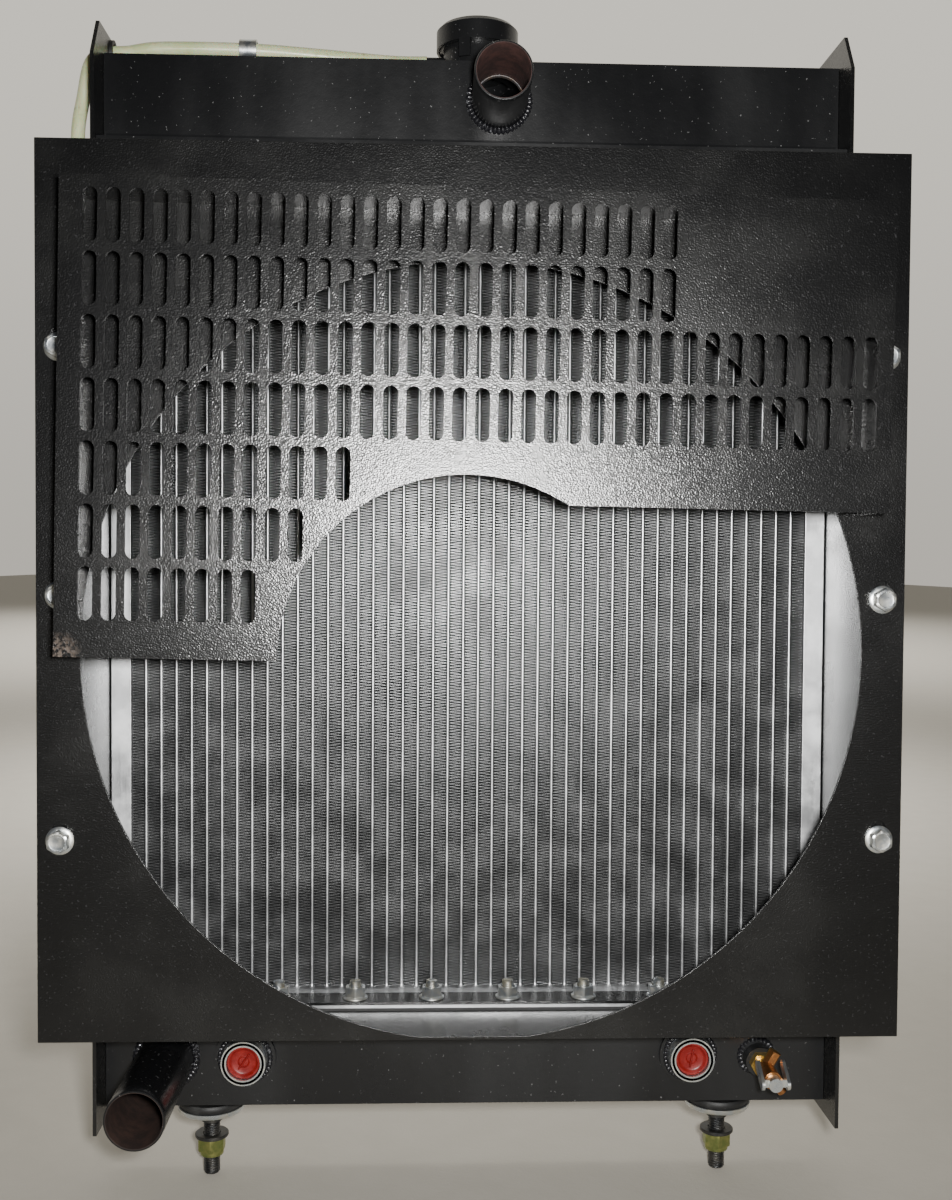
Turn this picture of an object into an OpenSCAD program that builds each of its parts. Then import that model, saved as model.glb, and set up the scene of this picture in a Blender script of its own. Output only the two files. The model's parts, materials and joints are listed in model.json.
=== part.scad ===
// Liquid radiator of an industrial truck with an oil cooler inside its bottom tank.
// X runs across the core, -Y faces the fan, +Z is up. The origin lies midway between the two
// isolator studs, in the plane of the studs' shoulders, which rest on the truck's frame.

/* [Core] */
// Width of the core and of both tanks
core_w = 500; // [400:1:620]
// Height of the core between the two header plates
core_h = 569.7; // [460:0.1:700]
// Depth of the core
core_t = 60; // [48:1:76]
// Distance between neighbouring coolant tubes
tube_pitch = 10.5; // [9:0.1:13]
// Thickness of a flat coolant tube
tube_t = 2; // [1.6:0.1:2.6]
// Wall of a coolant tube
tube_wall = 0.4; // [0.3:0.05:0.5]
// Height of one coarse fold, which stands for many fine ones
fin_fold = 57; // [40:1:80]
// Thickness of one coarse fold, for the weight of the fine ones
fin_t = 4; // [2:0.1:6]
// Least width of a core side channel
core_side_w = 13; // [10:0.5:18]
// Sheet of the core side channels
core_side_t = 2; // [1.5:0.1:3]

/* [Tanks] */
// Depth of the tanks
tank_d = 90; // [84:1:110]
// Sheet of the tanks
tank_wall = 3; // [2:0.1:3.5]
// Height of the top tank above its flange
top_tank_h = 61.4; // [54:0.1:80]
// Height of the bottom tank below its flange
bottom_tank_h = 66.6; // [60:0.1:84]
// How far the flange stands out in front of and behind the tank
flange_reach = 21; // [18:0.5:26]
// Thickness of the flange
flange_t = 6; // [4:0.5:8]
// Thickness of the gasket
gasket_t = 1.8; // [1:0.1:3]
// Thickness of the header plate
header_t = 2; // [1.5:0.1:3]
// Width of the clamping strip
strip_w = 20; // [18:0.5:21]
// Thickness of the clamping strip
strip_t = 2; // [1.5:0.1:4]
// Distance between neighbouring header bolts
header_bolt_pitch = 52.2; // [40:0.1:70]
// Distance from the flange's edge to the header bolts
header_bolt_inset = 10; // [9.5:0.1:11]

/* [Side plates] */
// Sheet of the side plates
side_t = 2.5; // [2:0.1:4]
// Depth of the side plates beside the tanks
side_d = 142; // [136:1:170]
// How far the side plates rise above the top tank
side_rise = 17.3; // [10:0.1:30]
// How far the side plates end below the bottom tank's floor
side_drop = 9.4; // [4:0.1:14]
// Height of the corner cut at the top front of the side plates
corner_h = 26; // [10:1:40]
// Depth of the corner cut at the top front of the side plates
corner_d = 16; // [8:1:30]

/* [Fan plate] */
// Distance from the core's middle to the front of the fan plate
shroud_depth = 115; // [100:1:140]
// Sheet of the fan plate and the finger guard
sheet_t = 2; // [1.5:0.1:2.5]
// How far the fan plate reaches past the side plates
plate_reach = 23.3; // [21:0.1:30]
// Gap between the fan plate's top edge and the top header
plate_top_gap = 7.5; // [7:0.1:20]
// Margin between the fan opening and the core's edge, each side
fan_margin = 1.5; // [1:0.5:20]
// How far the fan opening's circle dips below the bottom wall
fan_dip = 2.5; // [0:0.5:8]
// Height between neighbouring fan plate bolts
plate_bolt_pitch = 155; // [100:1:180]
// Distance from the fan plate's side edge to its bolts
plate_bolt_inset = 14.5; // [11:0.1:15]
// Width of the slots for the fan plate bolts
bolt_slot_w = 9; // [8.6:0.1:10]
// Length of the slots for the fan plate bolts
bolt_slot_l = 16.5; // [12:0.5:24]

/* [Finger guard] */
// How far the guard stands in front of the fan plate
guard_depth = 50; // [25:1:80]
// Gap between the guard's top and the fan plate's top edge
guard_top_gap = 40; // [20:1:80]
// Sideways place of the guard's middle
guard_shift = 1.5; // [-6:0.5:6]
// Clockwise lean of the guard in degrees
guard_turn = 0.92; // [0:0.02:2]
// Radius of the cut-out round the fan's hub
hub_r = 112.5; // [80:0.5:140]
// Height of the guard's right lower edge above the fan's centre
guard_right_low = 93.5; // [60:0.5:110]
// Width of a guard slot
slot_w = 8.8; // [6:0.1:10]
// Length of a guard slot
slot_l = 32; // [20:0.5:35]
// Distance between neighbouring guard slots across
slot_pitch_x = 13.68; // [11:0.01:18]
// Distance between neighbouring rows of guard slots
slot_pitch_z = 37; // [36:0.1:50]
// Distance from the guard's left edge to the first slot's middle
slot_first_x = 18; // [12:0.1:30]
// Distance from the guard's top edge to the first row's middle
slot_first_z = 23; // [20:0.1:40]
// Least metal between a slot and any edge of the guard
slot_edge = 2.4; // [2:0.1:8]

/* [Pipes and ports] */
// Outer diameter of the inlet and outlet pipes
pipe_d = 38; // [30:1:42]
// Wall of the inlet and outlet pipes
pipe_wall = 1.8; // [1.2:0.1:3]
// Length of the inlet pipe in front of the tank
inlet_l = 56; // [40:1:90]
// Sideways place of the inlet pipe
inlet_x = 16.5; // [-100:0.5:100]
// Depth of the inlet pipe's axis below the top tank's lid
inlet_below = 26.2; // [24:0.1:32]
// Length of the outlet pipe in front of the tank
outlet_l = 102; // [70:1:140]
// Distance from the tank's left end to the outlet pipe's axis
outlet_inset = 41.4; // [30:0.1:60]
// Height of the outlet pipe's axis above the bottom tank's floor
outlet_up = 33.3; // [26:0.1:36]
// Distance from the tank's end to the oil port on that side
port_inset = 95.5; // [85:0.5:120]
// Height of the oil ports above the bottom tank's floor
port_up = 33.6; // [30:0.1:38]
// Outer diameter of the oil port fittings
port_d = 30.4; // [26:0.1:34]
// Bore of the oil port fittings at the mouth
port_bore = 23.2; // [18:0.1:25]
// How far the oil port fittings stand in front of the tank
port_reach = 13; // [8:0.5:20]
// Number of flat elements in the oil cooler
cooler_plates = 5; // [3:1:6]
// Height of the oil cooler's flat elements
cooler_h = 44; // [36:1:50]
// Thickness of one flat element
cooler_plate_t = 4.5; // [3.5:0.1:6]
// Depth of the whole oil cooler
cooler_d = 48; // [40:1:60]

/* [Drain cock] */
// Distance from the tank's right end to the drain cock's axis
drain_inset = 48; // [36:0.5:60]
// Height of the drain cock's axis above the bottom tank's floor
drain_up = 31.6; // [26:0.1:36]
// Length of the boss that the drain cock screws into
drain_boss_l = 12; // [8:0.5:16]
// Length of the drain cock's round barrel
barrel_l = 27; // [24:0.5:34]
// Diameter of the drain cock's barrel
barrel_d = 12; // [10:0.5:14]
// Diameter of the turning key inside the barrel
key_d = 7.9; // [6:0.1:8.4]
// Length of the drain spout from the barrel's axis
spout_l = 20; // [14:0.5:24]

/* [Filler cap] */
// Sideways place of the filler neck
cap_x = 3; // [-20:0.5:20]
// Outer diameter of the filler neck
neck_d = 48; // [44:0.5:54]
// Height of the filler neck above the top tank
neck_h = 24.3; // [20:0.1:30]
// Outer diameter of the cap
cap_d = 58; // [56:0.5:66]
// Height of the cap's crown above the neck
cap_rise = 14; // [12:0.1:18]
// Width of the cap's two ears
ear_w = 8; // [6:0.5:9]
// Direction of the cap's front ear in degrees
ear_angle = 250; // [240:1:256]
// Wire of the cap's pressure spring
spring_wire = 2; // [1.2:0.1:2.4]

/* [Isolator mounts] */
// Distance from the tank's end to the isolator stud on that side
mount_inset = 65.25; // [55:0.25:80]
// Height of the bottom tank's floor above the origin
mount_h = 29.4; // [28:0.1:36]
// Width of the mount brackets, across the radiator
bracket_w = 56; // [50:1:70]
// Depth of the mount brackets, front to back
bracket_d = 34; // [33:0.5:60]
// Sheet of the mount brackets
bracket_t = 3; // [2:0.1:4]
// Height of the bracket's underside above the origin
bracket_low = 18; // [16:0.5:18]
// Diameter of the cup washers
cup_d = 48; // [40:0.5:52]
// Height of the cup washers' undersides above the origin
cup_low = 8; // [6:0.5:9]
// Diameter of the studs' shoulders between the truck's frame and the cup washers
shoulder_d = 15; // [13.5:0.5:18]
// Diameter of the studs where they pass through the truck's frame
stud_d = 12; // [10:0.5:14]
// Thickness of the truck frame that the studs clamp
frame_t = 9; // [5:0.5:16]
// Length of the studs below the origin
stud_l = 38; // [34:1:60]

/* [Overflow hose] */
// Outer diameter of the overflow hose
hose_d = 9.5; // [8.6:0.1:10]
// Outer diameter of the overflow nipple
nipple_d = 8; // [6:0.1:8.4]

/* [Hidden] */
$fn = 64;

// Finishes
black_coat = "#141516";
satin_black = "#1b1d1f";
bare_alu = "#c9ccce";
zinc = "#b9c0c4";
olive_zinc = "#8d8a5a";
brass_tone = "#b08d3e";
red_plastic = "#b3211b";
rubber_black = "#232323";

// Cut overlap and clearances
eps = 1;
fit = 0.05;
seat_gap = 0.2;
valve_gap = 0.5;

// Heights of the stack, from the floor of the bottom tank up
floor_z = mount_h;
low_flange_z = floor_z + bottom_tank_h;
low_flange_top = low_flange_z + flange_t;
low_header_z = low_flange_top + gasket_t;
core_z = low_header_z + header_t;
core_top = core_z + core_h;
high_header_top = core_top + header_t;
high_flange_z = high_header_top + gasket_t;
high_flange_top = high_flange_z + flange_t;
lid_z = high_flange_top + top_tank_h;

// Depths
half_w = core_w / 2;
tank_y = tank_d / 2;
flange_y = tank_y + flange_reach;
bolt_y = flange_y - header_bolt_inset;
plate_y = -shroud_depth;
plate_back = plate_y + sheet_t;

// Fan plate and opening
side_in = half_w + seat_gap;
side_out = side_in + side_t;
plate_half = side_out + plate_reach;
plate_z = low_flange_top - sheet_t;
plate_top = core_top - plate_top_gap;
plate_h = plate_top - plate_z;
wall_top = plate_z + sheet_t;
fan_d = min(core_w, plate_h) - 2 * fan_margin;
fan_z = wall_top + fan_d / 2 - fan_dip;
plate_bolt_x = plate_half - plate_bolt_inset;
plate_mid = (plate_z + plate_top) / 2;
wall_half = half_w - seat_gap;
nut_reach = 8.5;
top_wall_front = bolt_y + nut_reach + 3.5;

// Finger guard
guard_y = plate_y - guard_depth;
guard_w = core_w - 2 * fan_margin;
guard_x0 = guard_shift - guard_w / 2;
guard_x1 = guard_shift + guard_w / 2;
guard_z1 = plate_top - guard_top_gap;
guard_z0 = fan_z - 3;
guard_z_right = fan_z + guard_right_low;
hub_x = guard_shift - 4.5;
hub_z = fan_z - 2;
// The most slots that each row has, from the top row down
row_slots = [26, 26, 35, 35, 12, 10, 8];

// Bolt sizes: thread radius, hex across flats, flange radius, head and nut heights
m8_r = 4;
m8_hex = 13;
m8_flange_r = 8.5;
m8_nut_h = 8;
m8_tail = 4;
m8_clear_r = 4.5;
plate_bolt_flange_r = 8.95;
plate_bolt_flange_t = 1.5;
plate_bolt_hex_h = 6.5;
weld_nut_h = 6.5;

// Header bolts
bolts_per_row = floor((core_w - 2 * 12) / header_bolt_pitch) + 1;
bolt_x0 = -(bolts_per_row - 1) * header_bolt_pitch / 2;

// Tubes and fins
fin_cols = floor((core_w - 2 * core_side_w) / tube_pitch);
tube_count = fin_cols - 1;
tube_d = core_t - 2;
tube_end = 3;
fin_w = tube_pitch - tube_t - 2 * fit;
fin_gap_z = 1;
fin_bend = 0.6;
fin_folds = floor((core_h - 2 * fin_gap_z - fin_t) / fin_fold);
fin_rise = (core_h - 2 * fin_gap_z - fin_t) / fin_folds;
core_side_x = fin_cols * tube_pitch / 2 - tube_t / 2 + 0.5;
core_side_out = half_w - 0.5;

// Places on the tanks
inlet_z = lid_z - inlet_below;
outlet_x = -half_w + outlet_inset;
outlet_z = floor_z + outlet_up;
port_x = half_w - port_inset;
port_z = floor_z + port_up;
drain_x = half_w - drain_inset;
drain_z = floor_z + drain_up;
mount_x = half_w - mount_inset;
pipe_r = pipe_d / 2;
pipe_hole_r = pipe_r - 2;
weld_w = 4;

// Bolts between side plates and tanks
tank_bolt_y = 25;
tank_boss_r = 9;
tank_boss_l = 14;
tank_bolt_l = 14;

// Oil port fittings and cooler
port_r = port_d / 2;
port_bore_r = port_bore / 2;
port_collar_r = port_r + 6;
port_collar_t = 3;
port_wall_gap = 0.1;
shoulder_r = port_r + 4;
shoulder_t = 4;
seal_t = 2;
oil_bore_r = 8;
plug_recess = 2.5;
plug_l = 9;
plug_gap = 0.2;
cooler_half = port_x + 18;
cooler_y = -cooler_d / 2;
cooler_pitch = (cooler_d - cooler_plate_t) / (cooler_plates - 1);
cooler_skin = 0.8;
cooler_rim = 1.5;
column_r = 15;

// Drain cock
drain_hex = 14;
drain_hex_l = 6;
drain_boss_r = 10;
drain_thread_r = 5;
drain_inlet_r = 2.5;
boss_front = -tank_y - drain_boss_l;
hex_front = boss_front - drain_hex_l;
barrel_front = hex_front - barrel_l;
key_r = key_d / 2;
key_back = hex_front - 1;
spout_y = hex_front - 6;
spout_lean = 38;
vent_lean = 30;
vent_hex = 8;
vent_l = 14;
key_head_r = 4.6;
key_head_l = 8;
handle_half = 7.5;
handle_t = 2;
handle_w = 7;
handle_back = 13;
handle_rise = 8;

// Filler neck and cap
neck_r = neck_d / 2;
neck_wall = 2;
neck_top = lid_z + neck_h;
rim_r = neck_r + 2.5;
rim_t = 2;
seat_z = lid_z + 5.3;
seat_t = 2;
seat_top = seat_z + seat_t;
seat_r = 14;
notch_turn = 90;
notch_w = ear_w + 4;
cap_r = cap_d / 2;
cap_sheet = 1.5;
cap_top = neck_top + cap_rise;
seal_disc_t = 1.5;
seal_disc_z = neck_top;
bell_z = seal_disc_z + seal_disc_t;
bell_r = neck_r - neck_wall - 2;
ear_low = neck_top - 14;
hook_in = neck_r + 1;
valve_r = seat_r + 2.5;
valve_seal_t = 2;
valve_plate_t = 1.5;
valve_z = seat_top + valve_seal_t;
valve_top = valve_z + valve_plate_t;
valve_lift = 4;
bell_low = valve_top + valve_lift + valve_gap;
crown_low = cap_top - 3;
spring_r = seat_r + 0.8;
spring_turns = 4;
vacuum_r = 6.5;
vacuum_hole_r = 3;
vacuum_stem_r = 1.4;
vacuum_drop = 1.5;
vacuum_disc_t = 1.2;
vacuum_stem_top = valve_top + 6.5;
vacuum_head_r = 3.8;
vacuum_head_t = 1;
vacuum_spring_r = 3.2;
vacuum_wire = 0.6;
nipple_z = lid_z + 14.3;
nipple_end = cap_x - 50;

// Isolator mounts
thread_r = 0.905 * stud_d / 2;
isolator_r = cup_d / 2 - 1.7;
cup_t = 1.5;
cup_lip = 3;
isolator_hole_r = 11;
isolator_low = cup_low + cup_t;
upper_isolator_t = 1.5;
washer_r = 16;
washer_t = 1.5;
stud_hex = 18;
stud_head_h = 5;
nut_washer_t = 2.5;
nut_h = 13.5;
bracket_in = bracket_low + bracket_t;
upper_washer_z = bracket_in + upper_isolator_t;

// Overflow hose: its middle line, from the nipple over the left side plate and down its outside
hose_r = hose_d / 2;
hose_pass = [-half_w - 1.5, -20, lid_z + 9];
hose_points = [
  [nipple_end + 16, 0, nipple_z],
  [nipple_end - 12, 0, nipple_z],
  [-110, -8, lid_z + 15],
  [-157, -15, lid_z + 15],
  [-215, -20, lid_z + 13],
  [hose_pass[0] + 12, hose_pass[1], hose_pass[2] + 0.6],
  [hose_pass[0] - 5, hose_pass[1], hose_pass[2] - 0.6],
  [hose_pass[0] - 13.5, hose_pass[1], hose_pass[2] - 8],
  [hose_pass[0] - 18, -20, lid_z - 20],
  [hose_pass[0] - 22, -21, lid_z - 50],
  [hose_pass[0] - 18, -22, lid_z - 95],
  [hose_pass[0] - 16, -22, lid_z - 150],
  [hose_pass[0] - 16, -22, lid_z - 200]
];
hose_steps = 4;
hose_sides = 10;
grommet_r = 8.5;
grommet_hole_r = 7.2;
grommet_play = 1.2;
clip_play = 0.9;
clip_x = -157;
clip_y = -15;
clip_z = lid_z + 15;
clip_w = 12;
clip_t = 1.5;
side_clip_x = hose_pass[0] - 16;
side_clip_y = -22;
side_clip_z = lid_z - 150;
screw_r = 2.5;
screw_head_r = 5;

// ---- shared shapes ----

// Two round ends and the straight between them, upright, centred
module upright_slot(w, l) {
  square([w, l - w], center = true);
  translate([0, (l - w) / 2]) circle(d = w);
  translate([0, -(l - w) / 2]) circle(d = w);
}

// A flat shape drawn in X and Z, from depth y_back forward to y_front
module facing_front(y_back, y_front) {
  translate([0, y_back, 0])
    rotate([90, 0, 0])
      linear_extrude(y_back - y_front)
        children();
}

// A round bar along Y at (x, z)
module bar_y(x, z, r, y_back, y_front) {
  translate([x, y_back, z])
    rotate([90, 0, 0])
      cylinder(r = r, h = y_back - y_front);
}

// A hexagonal bar along Y at (x, z)
module hex_y(x, z, across, y_back, y_front) {
  translate([x, y_back, z])
    rotate([90, 0, 0])
      cylinder(d = across / cos(30), h = y_back - y_front, $fn = 6);
}

// A tube along Y at (x, z)
module tube_y(x, z, r_out, r_in, y_back, y_front) {
  difference() {
    bar_y(x, z, r_out, y_back, y_front);
    bar_y(x, z, r_in, y_back + eps, y_front - eps);
  }
}

// An upright ring at (x, y)
module ring_z(x, y, z, r_out, r_in, h) {
  translate([x, y, z])
    difference() {
      cylinder(r = r_out, h = h);
      translate([0, 0, -eps]) cylinder(r = r_in, h = h + 2 * eps);
    }
}

// Places its children at every header bolt
module at_header_bolts() {
  for (side = [-1, 1])
    for (i = [0 : bolts_per_row - 1])
      translate([bolt_x0 + i * header_bolt_pitch, side * bolt_y])
        children();
}

// A closed tube round a list of middle points
function unit(v) = v / norm(v);
function tangent(path, i) =
  unit(path[min(i + 1, len(path) - 1)] - path[max(i - 1, 0)]);
function ring_points(p, t, r, sides) =
  let (u = unit(cross([0, 1, 0], t)), v = cross(t, u))
  [for (j = [0 : sides - 1]) p + r * (cos(360 * j / sides) * u + sin(360 * j / sides) * v)];
function side_faces(rings, sides) = [
  for (i = [0 : rings - 2])
    for (j = [0 : sides - 1])
      for (half = [0, 1])
        let (a = i * sides + j, b = i * sides + (j + 1) % sides)
        half == 0 ? [a, a + sides, b + sides] : [a, b + sides, b]
];
function end_faces(rings, sides) = [
  [for (j = [0 : sides - 1]) j],
  [for (j = [0 : sides - 1]) rings * sides - 1 - j]
];
module swept_tube(path, r, sides) {
  rings = len(path);
  points = [for (i = [0 : rings - 1]) each ring_points(path[i], tangent(path, i), r, sides)];
  polyhedron(points = points, faces = concat(side_faces(rings, sides), end_faces(rings, sides)));
}

// A smooth curve through chosen points
function curve_point(p0, p1, p2, p3, t) =
  0.5 * (2 * p1 + (p2 - p0) * t + (2 * p0 - 5 * p1 + 4 * p2 - p3) * t * t
    + (3 * p1 - p0 - 3 * p2 + p3) * t * t * t);
function smooth_path(p, steps) = concat(
  [for (i = [0 : len(p) - 2])
    for (k = [0 : steps - 1])
      curve_point(p[max(i - 1, 0)], p[i], p[i + 1], p[min(i + 2, len(p) - 1)], k / steps)],
  [p[len(p) - 1]]
);

// A coil spring standing on z, its wire drawn in the plane of each radius
module coil(z, h, r, wire, turns, steps, sides) {
  rings = turns * steps + 1;
  rise = (h - wire) / (rings - 1);
  points = [
    for (i = [0 : rings - 1])
      for (j = [0 : sides - 1])
        let (turn = 360 * i / steps, a = 360 * j / sides, rr = r + wire / 2 * cos(a))
        [rr * cos(turn), rr * sin(turn), z + wire / 2 + i * rise + wire / 2 * sin(a)]
  ];
  faces = concat(
    [for (f = side_faces(rings, sides)) [f[2], f[1], f[0]]],
    [for (f = end_faces(rings, sides)) [for (k = [len(f) - 1 : -1 : 0]) f[k]]]
  );
  polyhedron(points = points, faces = faces);
}

// ---- tanks ----

// Blind threaded bosses inside a tank's end walls
module tank_bosses(z) {
  for (side = [-1, 1])
    for (y = [-tank_bolt_y, tank_bolt_y])
      translate([side * half_w, y, z])
        rotate([0, -side * 90, 0])
          cylinder(r = tank_boss_r, h = tank_boss_l + tank_wall);
}

module tank_boss_bores(z) {
  for (side = [-1, 1])
    for (y = [-tank_bolt_y, tank_bolt_y])
      translate([side * (half_w + eps), y, z])
        rotate([0, -side * 90, 0])
          cylinder(r = m8_r + fit, h = tank_boss_l + eps);
}

module tank_cavity(z, h) {
  translate([-half_w + tank_wall, -tank_y + tank_wall, z])
    cube([core_w - 2 * tank_wall, tank_d - 2 * tank_wall, h]);
}

module flange_block(z) {
  translate([-half_w, -flange_y, z]) cube([core_w, 2 * flange_y, flange_t]);
}

module flange_holes(z) {
  translate([0, 0, z - eps])
    at_header_bolts()
      cylinder(r = m8_r + fit, h = flange_t + 2 * eps);
}

top_boss_z = high_flange_top + top_tank_h / 2;
bottom_boss_z = floor_z + bottom_tank_h / 2;

module top_tank() {
  color(satin_black)
    difference() {
      union() {
        difference() {
          union() {
            translate([-half_w, -tank_y, high_flange_z]) cube([core_w, tank_d, lid_z - high_flange_z]);
            flange_block(high_flange_z);
          }
          tank_cavity(high_flange_z - eps, lid_z - tank_wall - high_flange_z + eps);
        }
        tank_bosses(top_boss_z);
      }
      tank_boss_bores(top_boss_z);
      flange_holes(high_flange_z);
      bar_y(inlet_x, inlet_z, pipe_hole_r, -tank_y + 2 * tank_wall, -tank_y - eps);
      translate([cap_x, 0, lid_z - tank_wall - eps]) cylinder(r = neck_r - neck_wall, h = tank_wall + 2 * eps);
    }
}

module bottom_tank() {
  color(satin_black)
    difference() {
      union() {
        difference() {
          union() {
            translate([-half_w, -tank_y, floor_z]) cube([core_w, tank_d, low_flange_top - floor_z]);
            flange_block(low_flange_z);
          }
          tank_cavity(floor_z + tank_wall, low_flange_top - floor_z);
        }
        tank_bosses(bottom_boss_z);
        for (side = [-1, 1])
          bar_y(side * port_x, port_z, port_collar_r, -tank_y + tank_wall, -tank_y - port_collar_t);
      }
      tank_boss_bores(bottom_boss_z);
      flange_holes(low_flange_z);
      bar_y(outlet_x, outlet_z, pipe_hole_r, -tank_y + 2 * tank_wall, -tank_y - eps);
      bar_y(drain_x, drain_z, drain_thread_r, -tank_y + 2 * tank_wall, -tank_y - eps);
      for (side = [-1, 1])
        bar_y(side * port_x, port_z, port_r + port_wall_gap, -tank_y + 2 * tank_wall, -tank_y - 2 * port_collar_t);
    }
}

// ---- header joint ----

module gasket(z) {
  color(rubber_black)
    translate([0, 0, z])
      linear_extrude(gasket_t)
        difference() {
          square([core_w, 2 * flange_y], center = true);
          square([core_w - 2 * tank_wall, tank_d - 2 * tank_wall], center = true);
          at_header_bolts() circle(r = m8_clear_r);
        }
}

module top_gasket() {
  gasket(high_header_top);
}

module bottom_gasket() {
  gasket(low_flange_top);
}

module at_tubes() {
  for (i = [0 : tube_count - 1])
    translate([(i - (tube_count - 1) / 2) * tube_pitch, 0])
      children();
}

module header(z) {
  color(bare_alu)
    translate([0, 0, z])
      linear_extrude(header_t)
        difference() {
          square([core_w, 2 * flange_y], center = true);
          at_tubes() upright_slot(tube_t + 2 * fit, tube_d + 2 * fit);
          at_header_bolts() circle(r = m8_clear_r);
        }
}

module top_header() {
  header(core_top);
}

module bottom_header() {
  header(low_header_z);
}

module clamp_strips(z) {
  color(black_coat)
    translate([0, 0, z])
      linear_extrude(strip_t)
        difference() {
          for (side = [-1, 1])
            translate([0, side * (flange_y - strip_w / 2)])
              square([core_w, strip_w], center = true);
          at_header_bolts() circle(r = m8_clear_r);
        }
}

module top_clamp_strips() {
  clamp_strips(core_top - strip_t);
}

module bottom_clamp_strips() {
  clamp_strips(core_z);
}

// A headless stud pointing up, pressed into the flange whose outer face is z = 0
module header_bolt() {
  stack = flange_t + gasket_t + header_t + strip_t;
  cylinder(r = m8_r, h = stack + m8_nut_h + m8_tail);
}

// A flange nut standing on z = 0
module header_nut() {
  difference() {
    union() {
      cylinder(d = m8_hex / cos(30), h = m8_nut_h, $fn = 6);
      cylinder(r = m8_flange_r, h = 1.2);
    }
    translate([0, 0, -eps]) cylinder(r = m8_r + fit, h = m8_nut_h + 2 * eps);
  }
}

module top_header_bolts() {
  color(olive_zinc)
    at_header_bolts()
      translate([0, 0, high_flange_top]) mirror([0, 0, 1]) header_bolt();
}

module bottom_header_bolts() {
  color(olive_zinc)
    at_header_bolts()
      translate([0, 0, low_flange_z]) header_bolt();
}

module top_header_nuts() {
  color(zinc)
    at_header_bolts()
      translate([0, 0, core_top - strip_t]) mirror([0, 0, 1]) header_nut();
}

module bottom_header_nuts() {
  color(zinc)
    at_header_bolts()
      translate([0, 0, core_z + strip_t]) header_nut();
}

// ---- core ----

module coolant_tubes() {
  color(bare_alu)
    translate([0, 0, low_header_z - tube_end])
      linear_extrude(high_header_top - low_header_z + 2 * tube_end)
        at_tubes()
          difference() {
            upright_slot(tube_t, tube_d);
            upright_slot(tube_t - 2 * tube_wall, tube_d - 2 * tube_wall);
          }
}

// One folded ribbon, drawn in X and Z: level folds joined by walls at alternate sides
function fold_z(i) = core_z + fin_gap_z + i * fin_rise;
module fin_ribbon() {
  side = fin_w / 2;
  right = [
    for (i = [0 : fin_folds - 1])
      each (i % 2 == 0 ? [] : [
        [side, fold_z(i) + fin_t], [fin_bend - side, fold_z(i) + fin_t],
        [fin_bend - side, fold_z(i + 1)], [side, fold_z(i + 1)]
      ])
  ];
  left = [
    for (i = [fin_folds - 1 : -1 : 0])
      each (i % 2 == 1 ? [] : [
        [-side, fold_z(i + 1)], [side - fin_bend, fold_z(i + 1)],
        [side - fin_bend, fold_z(i) + fin_t], [-side, fold_z(i) + fin_t]
      ])
  ];
  top = fold_z(fin_folds) + fin_t;
  polygon(concat([[side, fold_z(0)]], right, [[side, top], [-side, top]], left, [[-side, fold_z(0)]]));
}

module fins() {
  color("#aeb2b4")
    for (i = [0 : fin_cols - 1])
      translate([(i - (fin_cols - 1) / 2) * tube_pitch, 0, 0])
        facing_front(tube_d / 2, -tube_d / 2) fin_ribbon();
}

// A channel whose web lies against the outermost fins
module core_side(side) {
  w = core_side_out - core_side_x;
  color(bare_alu)
    translate([side > 0 ? core_side_x : -core_side_out, 0, core_z])
      linear_extrude(core_h)
        difference() {
          translate([0, -core_t / 2]) square([w, core_t]);
          translate([side > 0 ? core_side_t : -eps, -core_t / 2 + core_side_t])
            square([w - core_side_t + eps, core_t - 2 * core_side_t]);
        }
}

module left_core_side() {
  core_side(-1);
}

module right_core_side() {
  core_side(1);
}

// ---- pipes and neck ----

// A pipe that stands on the tank's front wall, with its weld
module welded_pipe(x, z, l) {
  color(satin_black)
    difference() {
      union() {
        bar_y(x, z, pipe_r, -tank_y, -tank_y - l);
        translate([x, -tank_y, z])
          rotate([90, 0, 0])
            cylinder(r1 = pipe_r + weld_w, r2 = pipe_r, h = weld_w);
      }
      bar_y(x, z, pipe_r - pipe_wall, -tank_y + eps, -tank_y - l - eps);
    }
}

module inlet_pipe() {
  welded_pipe(inlet_x, inlet_z, inlet_l);
}

module outlet_pipe() {
  welded_pipe(outlet_x, outlet_z, outlet_l);
}

module filler_neck() {
  color(satin_black)
    difference() {
      union() {
        translate([cap_x, 0, lid_z]) cylinder(r = neck_r, h = neck_h);
        translate([cap_x, 0, neck_top - rim_t]) cylinder(r = rim_r, h = rim_t);
        translate([nipple_end, 0, nipple_z]) rotate([0, 90, 0]) cylinder(d = nipple_d, h = cap_x - nipple_end);
      }
      translate([cap_x, 0, seat_top]) cylinder(r = neck_r - neck_wall, h = neck_h);
      translate([cap_x, 0, lid_z - eps]) cylinder(r = seat_r, h = neck_h);
      translate([cap_x, 0, lid_z - eps]) cylinder(r = neck_r - neck_wall, h = seat_z - lid_z + eps);
      translate([nipple_end - eps, 0, nipple_z])
        rotate([0, 90, 0])
          cylinder(r = nipple_d / 2 - 1.5, h = cap_x - nipple_end);
      for (turn = [0, 180])
        translate([cap_x, 0, neck_top - rim_t - eps])
          rotate([0, 0, ear_angle + notch_turn + turn])
            translate([neck_r + fit, -notch_w / 2, 0])
              cube([rim_r, notch_w, rim_t + 2 * eps]);
    }
}

// ---- filler cap ----

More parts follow.
